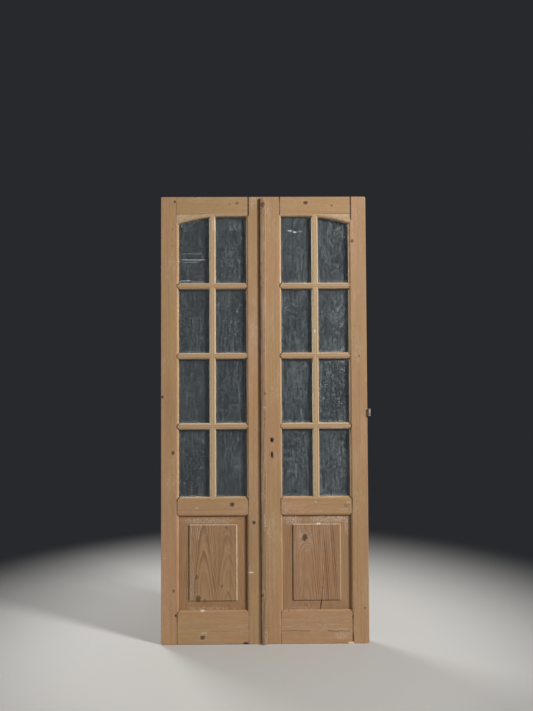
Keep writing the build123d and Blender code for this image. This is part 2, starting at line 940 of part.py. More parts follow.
def spindle_follower():
    """Hub with a square hole for the handle's spindle, and the horn that works the latch."""
    with BuildPart() as follower:
        with BuildSketch(depth(case_back)):
            Circle(hub_radius)
            Rectangle(spindle_square, spindle_square, mode=Mode.SUBTRACT)
        extrude(amount=case_thickness)
        with BuildSketch(depth(lock_across + horn_thickness / 2)):
            with Locations((0, horn_length / 2)):
                Rectangle(horn_width, horn_length)
            with Locations((0, horn_length)):
                Circle(horn_width / 2)
            Circle(hub_radius / 2, mode=Mode.SUBTRACT)
            Rectangle(spindle_square, spindle_square, mode=Mode.SUBTRACT)
        extrude(amount=horn_thickness)
    place = Location((spindle_line, 0, lock_height), (0, follower_turn, 0))
    with BuildPart() as turned:
        add(place * follower.part)
    return turned


def latch_bolt():
    """Bevelled latch with its flat tail, which the follower's horn draws back."""
    half, rise = latch_thickness / 2, latch_height / 2
    plate_half = latch_plate / 2
    tooth = spindle_line + latch_travel + horn_width / 2 + latch_play
    bar_low = lock_height + horn_length + horn_width / 2 + 3 * latch_play
    bar_high = bar_low + latch_arm
    arm_end = spindle_line - hub_radius - 5 * latch_play
    tooth_low = lock_height + horn_length / 2
    with BuildPart() as latch:
        with BuildSketch(Plane.XY.offset(lock_height - rise)):
            with BuildLine():
                Polyline(
                    (near_edge, lock_across - half),
                    (near_edge + latch_length, lock_across - half),
                    (near_edge + latch_length, lock_across + half),
                    (near_edge + latch_bevel, lock_across + half),
                    (near_edge, lock_across + half - latch_bevel),
                    close=True,
                )
            make_face()
        extrude(amount=latch_height)
        for low, high in (
            ((arm_end - latch_arm, lock_height - rise), (arm_end, bar_high)),
            ((arm_end - latch_arm, bar_low), (tooth + latch_arm, bar_high)),
            ((tooth, tooth_low), (tooth + latch_arm, bar_high)),
        ):
            block((low[0], lock_across - plate_half, low[1]), (high[0], lock_across + plate_half, high[1]))
    return latch


def dead_bolt():
    """Bolt thrown by the key, with the notch in its tail that the key's bit turns in."""
    half, rise = bolt_thickness / 2, bolt_height / 2
    plate_half = latch_plate / 2
    low, high = bolt_height_line - rise, bolt_height_line + rise
    tail_start = near_edge + bolt_length
    with BuildPart() as bolt:
        block((near_edge, lock_across - half, low), (tail_start, lock_across + half, high))
        block(
            (tail_start, lock_across - plate_half, low),
            (tail_start + bolt_tail, lock_across + plate_half, high - talon_height),
        )
        block(
            (spindle_line - talon_width / 2, lock_across - half, low),
            (spindle_line + talon_width / 2, lock_across + half, low + talon_height),
            Mode.SUBTRACT,
        )
    return bolt


def strike_plate():
    """Plate let into the left leaf's lip, with a window for each bolt."""
    low, high = strike_ends()
    half = forend_width / 2
    with BuildPart() as plate:
        block(
            (far_edge - strike_thickness, lock_across - half, low),
            (far_edge, lock_across + half, high),
        )
        cut_bolt_pockets()
        for place in strike_screw_planes():
            fastener(place, Mode.SUBTRACT)
    return plate


def write_leaf(side, mirrored):
    """Write the pieces that both leaves have, apart from the stiles."""
    cross_bars = [cross_bar(height) for height in bar_heights]
    keep(bottom_rail(), f"{side}_bottom_rail", mirrored)
    keep(lock_rail(), f"{side}_lock_rail", mirrored)
    keep(top_rail(), f"{side}_top_rail", mirrored)
    keep(upright_bar(cross_bars), f"{side}_upright_bar", mirrored)
    for number, bar in enumerate(cross_bars, 1):
        keep(bar, f"{side}_cross_bar_{number}", mirrored)
    keep(panel(), f"{side}_panel", mirrored)
    for row in range(pane_rows):
        for column, place in enumerate(("inner", "outer")):
            keep(pane(row, column), f"{side}_pane_{row + 1}_{place}", mirrored)
    keep(glazing_beads(), f"{side}_glazing_beads", mirrored)
    keep(tenon_wedges(), f"{side}_tenon_wedges", mirrored)


os.makedirs("parts", exist_ok=True)
for side, mirrored in LEAVES:
    write_leaf(side, mirrored)

# Stiles, which differ between the leaves
keep(hinge_stile(), "left_hinge_stile", True)
keep(left_meeting_stile(), "left_meeting_stile")
keep(right_hinge_stile(), "right_hinge_stile")
keep(right_meeting_stile(), "right_meeting_stile")

# Ironwork and the cover strip
keep(astragal(), "astragal")
keep(astragal_nails(), "astragal_nails")
keep(hinge_knuckle(), "hinge_knuckle")
keep(screws(hinge_screw_planes()), "hinge_screws")
keep(lock_case(), "lock_case")
keep(lock_cap(), "lock_cap")
keep(lock_forend(), "lock_forend")
keep(screws(forend_screw_planes()), "forend_screws")
keep(spindle_follower(), "spindle_follower")
keep(latch_bolt(), "latch_bolt")
keep(dead_bolt(), "dead_bolt")
keep(strike_plate(), "strike_plate")
keep(screws(strike_screw_planes()), "strike_screws")
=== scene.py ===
import math

import bmesh
import bpy
from mathutils import Matrix, Vector, noise


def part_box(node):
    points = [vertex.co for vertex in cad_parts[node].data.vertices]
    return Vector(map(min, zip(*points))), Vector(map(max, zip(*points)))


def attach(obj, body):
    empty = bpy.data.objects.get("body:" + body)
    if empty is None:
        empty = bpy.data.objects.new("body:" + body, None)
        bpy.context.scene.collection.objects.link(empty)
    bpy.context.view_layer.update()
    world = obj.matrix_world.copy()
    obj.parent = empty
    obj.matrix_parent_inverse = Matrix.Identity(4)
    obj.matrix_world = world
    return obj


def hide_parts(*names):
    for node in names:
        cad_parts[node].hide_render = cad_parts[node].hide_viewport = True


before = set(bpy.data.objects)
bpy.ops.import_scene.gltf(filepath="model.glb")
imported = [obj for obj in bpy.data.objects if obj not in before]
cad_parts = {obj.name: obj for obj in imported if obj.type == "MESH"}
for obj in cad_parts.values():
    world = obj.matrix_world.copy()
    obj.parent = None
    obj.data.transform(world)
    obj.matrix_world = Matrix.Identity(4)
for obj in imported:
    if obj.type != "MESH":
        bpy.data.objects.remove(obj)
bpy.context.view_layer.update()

# A pair of old pine doors: looks, camera and light. Lengths are in metres, colours in 8-bit sRGB.

# Camera, as it stood in front of a pair that leaned back a little
PHOTO_HEIGHT = 711
FOCAL_PIXELS = 620.0
SENSOR = 36.0
CAMERA_SIDE, CAMERA_DISTANCE, CAMERA_HEIGHT = -0.0144, 3.2646, 1.5206
CAMERA_YAW, CAMERA_ROLL = 0.0084, -0.0047
DOOR_LEAN = 0.03035

# Studio
KEY_PLACE, KEY_AIM = Vector((5.9, -3.65, 4.4)), Vector((0.0, 0.0, 1.75))
KEY_SIZE, KEY_POWER, KEY_SPREAD = 1.1, 104.0, math.radians(70)
BACK_PLACE, BACK_SIZE, BACK_POWER = Vector((-3.4, 3.6, 3.4)), 2.2, 190.0
FILL_STRENGTH = 0.31
BACKDROP = (40, 41, 44)
FLOOR_TONE = (198, 196, 192)
FLOOR_RADIUS, FLOOR_SEGMENTS = 9.0, 96
FLOOR_FADE_START, FLOOR_FADE_END = 0.85, 2.6

# Tones of the wood
EARLY_WOOD, LATE_WOOD = (183, 147, 109), (146, 108, 72)
PANEL_EARLY, PANEL_LATE = (174, 138, 102), (98, 68, 43)
BAR_EARLY, BAR_LATE = (200, 172, 137), (158, 121, 84)
STRIP_EARLY, STRIP_LATE = (160, 130, 101), (104, 78, 57)
WEDGE_EARLY, WEDGE_LATE = (150, 112, 72), (104, 72, 44)
MARGIN_TONES = {"left_panel": (158, 118, 80), "right_panel": (166, 129, 96)}
UPRIGHT_FACE, CROSS_FACE = (188, 161, 124), (180, 146, 109)
# Painted highlight for an upright bar's left moulding, and painted shade for its right moulding and a cross
# bar's top moulding
PAINTED_HIGHLIGHT, PAINTED_SHADE = (250, 226, 188), (166, 138, 105)
KNOT_HEART, KNOT_RIM = (108, 76, 52), (56, 38, 27)
# The dark tone serves for dirt, joints and holes and also for painted shade; the pale tone serves for chalk
# and also for painted highlight
DIRT_AND_SHADE, CHALK_AND_HIGHLIGHT, HAZE = (40, 27, 18), (222, 209, 190), (196, 170, 144)
PINK_CAST, STRAW_CAST = (1.01, 0.968, 0.975), (0.985, 0.995, 0.95)

# Noises of the grain: scales along, across and through the wood, shift of the seed, detail, roughness
GRAIN = {
    "drift": ((1.3, 5.0, 5.0), 0.0, 1.5, 0.55),
    "ripple": ((9.0, 34.0, 34.0), 3.0, 2.0, 0.55),
    "fibres": ((14.0, 620.0, 620.0), 5.0, 2.0, 0.55),
    "streaks": ((1.6, 85.0, 60.0), 7.0, 3.0, 0.62),
    "blotches": ((2.2, 7.0, 7.0), 9.0, 3.0, 0.55),
    "patches": ((4.5, 11.0, 11.0), 11.0, 2.0, 0.55),
    "flecks": ((60.0, 210.0, 210.0), 13.0, 3.0, 0.6),
    "warmth": ((1.1, 3.2, 3.2), 15.0, 3.0, 0.55),
    "knot_edge": ((70.0, 110.0, 110.0), 17.0, 2.0, 0.55),
    "haze": ((2.4, 13.0, 13.0), 19.0, 4.0, 0.65),
    "mottle": ((34.0, 130.0, 130.0), 23.0, 2.0, 0.55),
}

# Year rings: how fast their width and strength change from year to year, and how uneven the widths are
WIDTH_CHANGE, STRENGTH_CHANGE, YEAR_UNEVEN = 0.31, 0.43, 1.9

# Knots: scales along and across the grain of the bend round them and of their own shape
KNOT_BEND, KNOT_SHAPE = (0.32, 0.56), (0.8, 1.0)
BEND_FADE, BEND_SWELL = 1.3, 2.4
KNOT_UNEVEN = 1.3

# Wear and shade: how far rubbed arrises, corners darkened by dirt and painted shade, and chalky corners
# reach
ARRIS_WIDTH, CORNER_WIDTH, CHALK_WIDTH = 0.0035, 0.012, 0.005
AO_SAMPLES = 6

# Marks, painted on the front half only. Those weaker than SOLID_MARK are speckled.
FRONT_BLEND = 0.001
MARK_RAGGED, SOLID_MARK = 1.2, 0.75

# Lines and joints: a core is the share of the width that is as dark as the middle
JOINT_RAGGED, JOINT_CORE = 0.0032, 0.7
LINE_CORE, LINE_FADE = 0.4, 0.01
NEARLY_STRAIGHT, ARRIS_LINE = 0.001, 0.007

# Places on the doors, most of them read from the frame
MOULDING = 0.010
STILE_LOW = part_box("right_hinge_stile")[0]
FRONT = STILE_LOW.y
SHOULDER_OUT = STILE_LOW.x + MOULDING
SHOULDER_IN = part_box("right_upright_bar")[0].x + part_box("right_upright_bar")[1].x - SHOULDER_OUT
BAR_FLAT = (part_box("right_upright_bar")[1].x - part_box("right_upright_bar")[0].x) / 2 - MOULDING
SPANDREL_TOP = 2.284

# A panel's raised field: how far it lies inside its opening, and the painted highlight and shade lines along
# its edges
FIELD_SIDE, FIELD_END = MOULDING + 0.0535, 0.0455
FIELD_EDGE, FIELD_LINE = 0.002, 0.003


def linear(tone):
    """An 8-bit sRGB colour as Blender's linear RGBA."""
    channels = [value / 255 for value in tone]
    return tuple(c / 12.92 if c <= 0.04045 else ((c + 0.055) / 1.055) ** 2.4 for c in channels) + (1.0,)


def shaded_parts(tone, *factors):
    """A colour with each channel made lighter or darker by its own factor."""
    return tuple(min(255, value * factor) for value, factor in zip(tone, factors))


def shaded(tone, factor):
    """A colour made lighter or darker by a factor."""
    return shaded_parts(tone, factor, factor, factor)


class Look:
    """One material, with short calls for its nodes."""

    def __init__(self, name):
        self.material = bpy.data.materials.new(name)
        self.material.use_nodes = True
        self.tree = self.material.node_tree
        self.tree.nodes.clear()
        self.output = self.node("ShaderNodeOutputMaterial")
        self.surface = self.node("ShaderNodeBsdfPrincipled")
        self.link(self.surface.outputs[0], self.output.inputs[0])

    def node(self, kind, **settings):
        made = self.tree.nodes.new(kind)
        for key, value in settings.items():
            setattr(made, key, value)
        return made

    def link(self, start, end):
        self.tree.links.new(start, end)

    def feed(self, socket, value):
        """Link a socket, or set it to a number or colour."""
        if isinstance(value, bpy.types.NodeSocket):
            self.link(value, socket)
        else:
            socket.default_value = value

    def set(self, **values):
        """Set or link the shader's own inputs, named with underscores."""
        for key, value in values.items():
            self.feed(self.surface.inputs[key.replace("_", " ")], value)

    def math(self, operation, *values, clamp=False):
        made = self.node("ShaderNodeMath", operation=operation, use_clamp=clamp)
        for socket, value in zip(made.inputs, values):
            self.feed(socket, value)
        return made.outputs[0]

    def product(self, first, *factors):
        """Several sockets or numbers, multiplied from left to right."""
        for factor in factors:
            first = self.math("MULTIPLY", first, factor)
        return first

    def place(self):
        """Object coordinates as three sockets."""
        split = self.node("ShaderNodeSeparateXYZ")
        self.link(self.node("ShaderNodeTexCoord").outputs["Object"], split.inputs[0])
        return split.outputs

    def vector(self, x, y, z):
        made = self.node("ShaderNodeCombineXYZ")
        for socket, value in zip(made.inputs, (x, y, z)):
            self.feed(socket, value)
        return made.outputs[0]

    def stretched(self, parts, scales, seed):
        """A vector whose parts are scaled and shifted by a seed, to stretch a noise."""
        shifted = [self.math("MULTIPLY_ADD", part, scale, seed) for part, scale in zip(parts, scales)]
        return self.vector(*shifted)

    def noise(self, vector, detail=2.0, roughness=0.55):
        made = self.node("ShaderNodeTexNoise")
        self.link(vector, made.inputs["Vector"])
        made.inputs["Scale"].default_value = 1.0
        made.inputs["Detail"].default_value = detail
        made.inputs["Roughness"].default_value = roughness
        return made.outputs["Fac"]

    def speckle(self, scale, seed, detail=2.0, roughness=0.55):
        """Noise of one size in all directions."""
        return self.noise(self.stretched(self.place(), (scale, scale, scale), seed), detail, roughness)

    def span(self, value, low, high, start=0.0, end=1.0):
        """Smooth step of a value between two limits."""
        made = self.node("ShaderNodeMapRange", interpolation_type="SMOOTHSTEP")
        for socket, number in zip(made.inputs, (value, low, high, start, end)):
            self.feed(socket, number)
        return made.outputs[0]

    def mix(self, share, first, second):
        """The first colour at a share of 0, and the second at 1."""
        made = self.node("ShaderNodeMix", data_type="RGBA")
        self.feed(made.inputs[0], share)
        self.feed(made.inputs[6], first)
        self.feed(made.inputs[7], second)
        return made.outputs[2]

    def lay(self, colour, tone, value, low, high, share):
        """Lay a tone over a colour: none of it where a value is at low, and a share of it at high."""
        return self.mix(self.span(value, low, high, 0.0, share), colour, linear(tone))

    def tint(self, share, tone):
        """Lay a tone over the base colour."""
        below = self.surface.inputs["Base Color"].links[0].from_socket
        self.set(Base_Color=self.mix(share, below, linear(tone)))

    def bump(self, height, strength, distance):
        made = self.node("ShaderNodeBump")
        made.inputs["Strength"].default_value = strength
        made.inputs["Distance"].default_value = distance
        self.link(height, made.inputs["Height"])
        return made.outputs[0]

    def recess(self, distance, inside=False):
        """From 0 on an open face to 1 in a corner, or with inside to 1 on an arris."""
        made = self.node("ShaderNodeAmbientOcclusion", samples=AO_SAMPLES, inside=inside, only_local=inside)
        made.inputs["Distance"].default_value = distance
        return self.math("SUBTRACT", 1.0, made.outputs["AO"])

    def front(self):
        """1 on the front half of a member and 0 on its back half."""
        return self.span(self.place()[1], FRONT_BLEND, -FRONT_BLEND)

    def distance(self, first, second):
        """Length of a vector with two parts."""
        squares = self.math("MULTIPLY_ADD", second, second, self.math("MULTIPLY", first, first))
        return self.math("SQRT", squares)

    def from_spot(self, place, spot, scales):
        """Distance from a spot, with a scale for each of the two directions."""
        offsets = [
            self.math("MULTIPLY", self.math("SUBTRACT", value, middle), scale)
            for value, middle, scale in zip(place, spot, scales)
        ]
        return self.distance(*offsets)


class Knot:
    """A knot on a face: its place along and across the grain, its radius and its darkness."""

    def __init__(self, along, across, radius, dark=1.0):
        self.spot, self.radius, self.dark = (along, across), radius, dark

    def away(self, look, parts, shape):
        """Distance from the knot, in its radii, with a scale for each direction."""
        return look.from_spot(parts[:2], self.spot, [scale / self.radius for scale in shape])


def grain_parts(look, along_x):
    """Coordinates along the grain, across the face and through the leaf."""
    x, y, z = look.place()
    return (x, z, y) if along_x else (z, x, y)


def grain_noise(look, kind, parts, seed):
    """One of the noises of the grain, stretched along it."""
    scales, shift, detail, roughness = GRAIN[kind]
    return look.noise(look.stretched(parts, scales, seed + shift), detail, roughness)


def flow_round_knots(look, field, parts, knots):
    """Bend the year rings round each knot."""
    for knot in knots:
        away = knot.away(look, parts, KNOT_BEND)
        swell = look.math("EXPONENT", look.math("MULTIPLY", away, -BEND_FADE))
        field = look.math("MULTIPLY_ADD", swell, BEND_SWELL * knot.radius * knot.dark, field)
    return field


def paint_knots(look, colour, parts, knots, seed):
    """Dark, uneven hearts of the knots, each with a darker ring, a pale halo and a stain about it."""
    if not knots:
        return colour
    uneven = grain_noise(look, "knot_edge", parts, seed)
    for knot in knots:
        away = look.math("MULTIPLY_ADD", uneven, KNOT_UNEVEN, knot.away(look, parts, KNOT_SHAPE))
        away = look.math("SUBTRACT", away, KNOT_UNEVEN / 2)
        colour = look.lay(colour, KNOT_HEART, away, 2.2, 0.9, 0.3 * knot.dark)
        halo = look.product(look.span(away, 1.1, 1.5), look.span(away, 2.1, 1.6), 0.12 * knot.dark)
        colour = look.mix(halo, colour, linear(CHALK_AND_HIGHLIGHT))
        heart = look.mix(look.span(away, 0.55, 0.1), linear(KNOT_HEART), linear(KNOT_RIM))
        colour = look.mix(look.span(away, 1.0, 0.6, 0.0, 0.9 * knot.dark), colour, heart)
        rim = look.product(look.span(away, 0.6, 0.8), look.span(away, 1.1, 0.9), 0.7 * knot.dark)
        colour = look.mix(rim, colour, linear(KNOT_RIM))
    return colour


def late_wood(look, field, spacing, seed):
    """How dark the late wood is, in years of uneven width and strength."""
    years = look.math("DIVIDE", field, spacing)
    uneven = look.noise(look.vector(look.math("MULTIPLY", years, WIDTH_CHANGE), seed, 0.0), 1.0)
    years = look.math("MULTIPLY_ADD", uneven, YEAR_UNEVEN, years)
    strong = look.noise(look.vector(look.math("MULTIPLY", years, STRENGTH_CHANGE), seed + 2.0, 0.0), 1.0)
    phase = look.math("FRACT", years)
    growth, winter = look.span(phase, 0.15, 0.86), look.span(phase, 1.0, 0.92)
    return look.product(growth, winter, look.span(strong, 0.35, 0.65, 0.25, 1.0))


def pine(
    name,
    seed,
    along_x=False,
    early=EARLY_WOOD,
    late=LATE_WOOD,
    heart=0.0,
    heart_depth=0.16,
    lean=0.0,
    second=None,
    spacing=0.0042,
    taper=0.012,
    wander=0.010,
    swirl=0.0022,
    contrast=0.4,
    chalk=0.25,
    grime_and_shade=0.6,
    worn=0.5,
):
    """Stripped pine: year rings round a heart line, fibres, knots, pale arrises, chalk, and dirt with
    painted shade in corners.

    heart is the place of the heart line across the face, heart_depth its place through the leaf and lean its
    slope. second holds the place of a glued seam and of the heart line beyond it. spacing is a year's width.
    taper, wander and swirl bend the rings. contrast, chalk, worn and the corner darkening by dirt and
    painted shade are shares.
    """
    look = Look(name)
    parts = grain_parts(look, along_x)
    along, across, deep = parts
    knots = KNOTS.get(name, ())
    kinds = ("drift", "ripple", "fibres", "streaks", "blotches", "mottle", "warmth", "haze")
    noises = [grain_noise(look, kind, parts, seed) for kind in kinds]
    drift, ripple, fibres, streaks, blotches, mottle, warmth, haze = noises
    aside = look.math("SUBTRACT", across, heart)
    if lean:
        aside = look.math("MULTIPLY_ADD", along, lean, aside)
    if second:
        seam, other = second
        beyond = look.math("GREATER_THAN", across, seam)
        aside = look.math("MULTIPLY_ADD", beyond, heart - other, aside)
    field = look.distance(aside, look.math("SUBTRACT", deep, heart_depth))
    for source, amount in ((along, taper), (drift, wander), (ripple, swirl)):
        field = look.math("MULTIPLY_ADD", source, amount, field)
    field = flow_round_knots(look, field, parts, knots)
    rings = late_wood(look, field, spacing, seed)
    rings = look.math("MULTIPLY", rings, look.span(blotches, 0.33, 0.6, 1.15, 0.45))
    pink, straw = shaded_parts(early, *PINK_CAST), shaded_parts(early, *STRAW_CAST)
    colour = look.mix(look.span(warmth, 0.35, 0.65), linear(pink), linear(straw))
    colour = look.lay(colour, HAZE, haze, 0.48, 0.72, 0.4)
    colour = look.lay(colour, shaded(early, 0.88), blotches, 0.42, 0.75, 0.5)
    colour = look.lay(colour, shaded(early, 0.86), mottle, 0.42, 0.68, 0.32)
    colour = look.mix(look.math("MULTIPLY", rings, contrast), colour, linear(late))
    colour = look.lay(colour, late, streaks, 0.4, 0.85, 0.4)
    colour = look.lay(colour, late, fibres, 0.52, 0.75, 0.28)
    colour = paint_knots(look, colour, parts, knots, seed)
    arris = look.span(look.recess(ARRIS_WIDTH, True), 0.12, 0.5)
    pale_edges = look.product(arris, look.span(ripple, 0.25, 0.6, 0.45, 1.0), worn)
    colour = look.mix(pale_edges, colour, linear(shaded(early, 1.16)))
    colour = add_chalk(look, colour, parts, seed, chalk)
    # Dirt and painted shade: corners and recesses, found by occlusion, are darkened
    corner = look.span(look.recess(CORNER_WIDTH), 0.25, 0.8)
    darkened = look.product(corner, look.span(blotches, 0.2, 0.6, 0.5, 1.0), grime_and_shade)
    colour = look.mix(darkened, colour, linear(DIRT_AND_SHADE))
    height = look.math("MULTIPLY_ADD", rings, 0.8, look.math("MULTIPLY", fibres, 0.7))
    look.set(Base_Color=colour, Roughness=look.span(streaks, 0.3, 0.8, 0.62, 0.8))
    look.set(Specular_IOR_Level=0.28, Normal=look.bump(height, 0.35, 0.0006))
    return look


def add_chalk(look, colour, parts, seed, amount):
    """Pale traces of old finish, mostly in patches and a little in corners."""
    patches, flecks = (grain_noise(look, kind, parts, seed) for kind in ("patches", "flecks"))
    cover = look.product(look.span(patches, 0.5, 0.7), look.span(flecks, 0.45, 0.68))
    corner = look.span(look.recess(CHALK_WIDTH), 0.12, 0.5)
    cover = look.math("MAXIMUM", cover, look.product(corner, look.span(flecks, 0.5, 0.64), 0.9))
    return look.mix(look.math("MULTIPLY", cover, amount), colour, linear(CHALK_AND_HIGHLIGHT))


def add_joint_lines(look, node, moulded, ends):
    """Open joints where a rail or bar meets its neighbours, square at the shoulder and on the mitre.

    moulded names the edges that have a moulding. ends holds the width and the darkness of the joint at the
    inner and at the outer end.
    """
    low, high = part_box(node)
    x, _, z = look.place()
    off_middle = look.math("ABSOLUTE", x)
    inward = look.math("SUBTRACT", off_middle, SHOULDER_IN)
    outward = look.math("SUBTRACT", SHOULDER_OUT, off_middle)
    from_edge = {"low": look.math("SUBTRACT", z, low.z), "high": look.math("SUBTRACT", high.z, z)}
    ragged = look.speckle(45.0, 2.0, 3.0)
    gaps = []
    for end, (width, darkness) in zip((inward, outward), ends):
        edge = end
        for side in moulded:
            corner = look.math("SUBTRACT", look.math("ADD", end, from_edge[side]), MOULDING)
            edge = look.math("MINIMUM", edge, look.math("MULTIPLY", corner, math.sqrt(0.5)))
        edge = look.math("MULTIPLY_ADD", ragged, -JOINT_RAGGED, look.math("ADD", edge, JOINT_RAGGED / 2))
        gaps.append(look.span(edge, width, width * JOINT_CORE, 0.0, darkness))
    uneven = look.span(look.speckle(19.0, 8.0), 0.38, 0.6, 0.55, 1.0)
    look.tint(look.math("MULTIPLY", look.math("MAXIMUM", *gaps), uneven), DIRT_AND_SHADE)


def add_marks(look, marks, tone=CHALK_AND_HIGHLIGHT):
    """Small dabs on the front, each at a place with its width, height and strength."""
    if not marks:
        return
    x, _, z = look.place()
    front = look.front()
    ragged = look.speckle(130.0, 6.0)
    speckled = look.span(look.speckle(210.0, 12.0, 3.0), 0.47, 0.6)
    for mark_x, mark_z, width, height, strength in marks:
        away = look.from_spot((x, z), (mark_x, mark_z), (2 / width, 2 / height))
        away = look.math("MULTIPLY_ADD", ragged, MARK_RAGGED, away)
        inside = look.product(look.span(away, 1.9, 1.2, 0.0, strength), front)
        if strength < SOLID_MARK:
            inside = look.math("MULTIPLY", inside, speckled)
        look.tint(inside, tone)


def add_lines(look, lines, tone=DIRT_AND_SHADE, wander=0.008, faintest=0.35):
    """Lines on the front, such as cracks, each from one place to another with its width and strength.

    wander is how far they stray, and faintest the share of its strength that a line keeps everywhere.
    """
    if not lines:
        return
    x, _, z = look.place()
    front = look.front()
    shift = look.math("MULTIPLY_ADD", look.speckle(22.0, 9.0), wander, -wander / 2)
    broken = look.span(look.speckle(90.0, 4.0), 0.3, 0.55, faintest, 1.0)
    for start_x, start_z, end_x, end_z, width, strength in lines:
        run = Vector((end_x - start_x, end_z - start_z))
        length, way = run.length, run.normalized()
        off_x, off_z = look.math("SUBTRACT", x, start_x), look.math("SUBTRACT", z, start_z)
        along = look.math("MULTIPLY_ADD", off_z, way.y, look.math("MULTIPLY", off_x, way.x))
        aside = look.math("MULTIPLY_ADD", off_z, way.x, look.math("MULTIPLY", off_x, -way.y))
        aside = look.math("ABSOLUTE", look.math("ADD", aside, shift))
        inside = look.product(look.span(along, 0.0, LINE_FADE), look.span(along, length, length - LINE_FADE))
        cover = look.span(aside, width, width * LINE_CORE, 0.0, strength)
        look.tint(look.product(cover, inside, broken, front), tone)


def paint(name, look):
    """Give a CAD node its material."""
    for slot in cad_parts[name].material_slots:
        slot.material = look.material


def add_object(name, data):
    """Put a new object into the scene."""
    made = bpy.data.objects.new(name, data)
    bpy.context.scene.collection.objects.link(made)
    return made


def make_camera():
    """The photograph's camera, turned with the doors so that they stand upright."""
    data = bpy.data.cameras.new("camera")
    data.sensor_width = SENSOR
    data.lens = FOCAL_PIXELS / PHOTO_HEIGHT * SENSOR
    camera = add_object("camera", data)
    bpy.context.scene.camera = camera
    upright = Matrix.Translation((0, FRONT, 0)) @ Matrix.Rotation(DOOR_LEAN, 4, "X")
    stand = Matrix.Translation((CAMERA_SIDE, -CAMERA_DISTANCE, CAMERA_HEIGHT))
    level = Matrix.Rotation(-CAMERA_YAW, 4, "Z") @ Matrix.Rotation(math.pi / 2, 4, "X")
    camera.matrix_world = upright @ stand @ level @ Matrix.Rotation(CAMERA_ROLL, 4, "Z")


def add_lamp(name, place, aim, size, power, spread=math.pi):
    """A square soft lamp that faces a point."""
    data = bpy.data.lights.new(name, "AREA")
    data.shape = "SQUARE"
    data.size = size
    data.spread = spread
    data.energy = power
    lamp = add_object(name, data)
    lamp.location = place
    lamp.rotation_mode = "QUATERNION"
    lamp.rotation_quaternion = (aim - place).to_track_quat("-Z", "Y")
    lamp.visible_camera = False


def make_world():
    """Soft fill light all round, and a plain dark backdrop where it is seen."""
    world = bpy.data.worlds.new("studio")
    bpy.context.scene.world = world
    world.use_nodes = True
    tree = world.node_tree
    tree.nodes.clear()
    fill, backdrop = (tree.nodes.new("ShaderNodeBackground") for _ in range(2))
    fill.inputs[0].default_value = (1.0, 1.0, 1.0, 1.0)
    fill.inputs[1].default_value = FILL_STRENGTH
    backdrop.inputs[0].default_value = linear(BACKDROP)
    path = tree.nodes.new("ShaderNodeLightPath")
    seen = path.outputs["Is Camera Ray"]
    for ray in ("Is Glossy Ray", "Is Transmission Ray"):
        either = tree.nodes.new("ShaderNodeMath")
        either.operation = "MAXIMUM"
        tree.links.new(seen, either.inputs[0])
        tree.links.new(path.outputs[ray], either.inputs[1])
        seen = either.outputs[0]
    mix = tree.nodes.new("ShaderNodeMixShader")
    tree.links.new(seen, mix.inputs[0])
    tree.links.new(fill.outputs[0], mix.inputs[1])
    tree.links.new(backdrop.outputs[0], mix.inputs[2])
    output = tree.nodes.new("ShaderNodeOutputWorld")
    tree.links.new(mix.outputs[0], output.inputs[0])


def make_floor():
    """A pale floor round the doors, which fades into the backdrop."""
    mesh = bpy.data.meshes.new("floor")
    shape = bmesh.new()
    bmesh.ops.create_circle(shape, cap_ends=True, segments=FLOOR_SEGMENTS, radius=FLOOR_RADIUS)
    shape.to_mesh(mesh)
    shape.free()
    floor = add_object("floor", mesh)
    look = Look("floor")
    x, y, _ = look.place()
    away = look.distance(x, y)
    look.set(Base_Color=linear(FLOOR_TONE), Roughness=0.9, Specular_IOR_Level=0.1)
    dark = look.node("ShaderNodeEmission")
    dark.inputs["Color"].default_value = linear(BACKDROP)
    mix = look.node("ShaderNodeMixShader")
    look.link(look.span(away, FLOOR_FADE_START, FLOOR_FADE_END), mix.inputs[0])
    look.link(look.surface.outputs[0], mix.inputs[1])
    look.link(dark.outputs[0], mix.inputs[2])
    look.link(mix.outputs[0], look.output.inputs[0])
    mesh.materials.append(look.material)


# Knots seen on each member: place along the grain, place across it, radius, darkness
KNOTS = {
    "left_hinge_stile": [
        Knot(2.349, -0.476, 0.006, 0.8),
        Knot(2.201, -0.486, 0.004, 0.4),
        Knot(2.110, -0.486, 0.004, 0.4),
        Knot(1.006, -0.485, 0.008),
        Knot(1.303, -0.541, 0.006),
        Knot(0.281, -0.482, 0.006, 0.8),
    ],
    "left_meeting_stile": [Knot(0.636, -0.057, 0.008)],
    "right_hinge_stile": [
        Knot(2.136, 0.477, 0.007, 0.8),
        Knot(1.516, 0.509, 0.004, 0.7),
        Knot(0.184, 0.526, 0.005, 0.7),
    ],
    "right_meeting_stile": [Knot(0.985, 0.043, 0.006, 0.3)],
    "left_lock_rail": [Knot(-0.171, 0.733, 0.010)],
    "right_lock_rail": [Knot(0.436, 0.724, 0.012, 0.3)],
    "left_bottom_rail": [Knot(-0.331, 0.037, 0.010)],
    "left_top_rail": [Knot(-0.141, 2.341, 0.008, 0.5), Knot(-0.182, 2.337, 0.006, 0.3)],
    "right_top_rail": [Knot(0.228, 2.344, 0.009), Knot(0.368, 2.328, 0.005, 0.7)],
    "left_panel": [
        Knot(0.236, -0.354, 0.013, 0.8),
        Knot(0.350, -0.361, 0.008, 0.35),
        Knot(0.301, -0.229, 0.007, 0.5),
        Knot(0.609, -0.205, 0.007, 0.5),
    ],
    "right_panel": [Knot(0.554, 0.212, 0.013)],
    "worn_strip": [
        Knot(2.33, -0.004, 0.011, 0.8),
        Knot(1.32, 0.004, 0.006, 0.6),
        Knot(0.258, -0.014, 0.007, 0.8),
    ],
}

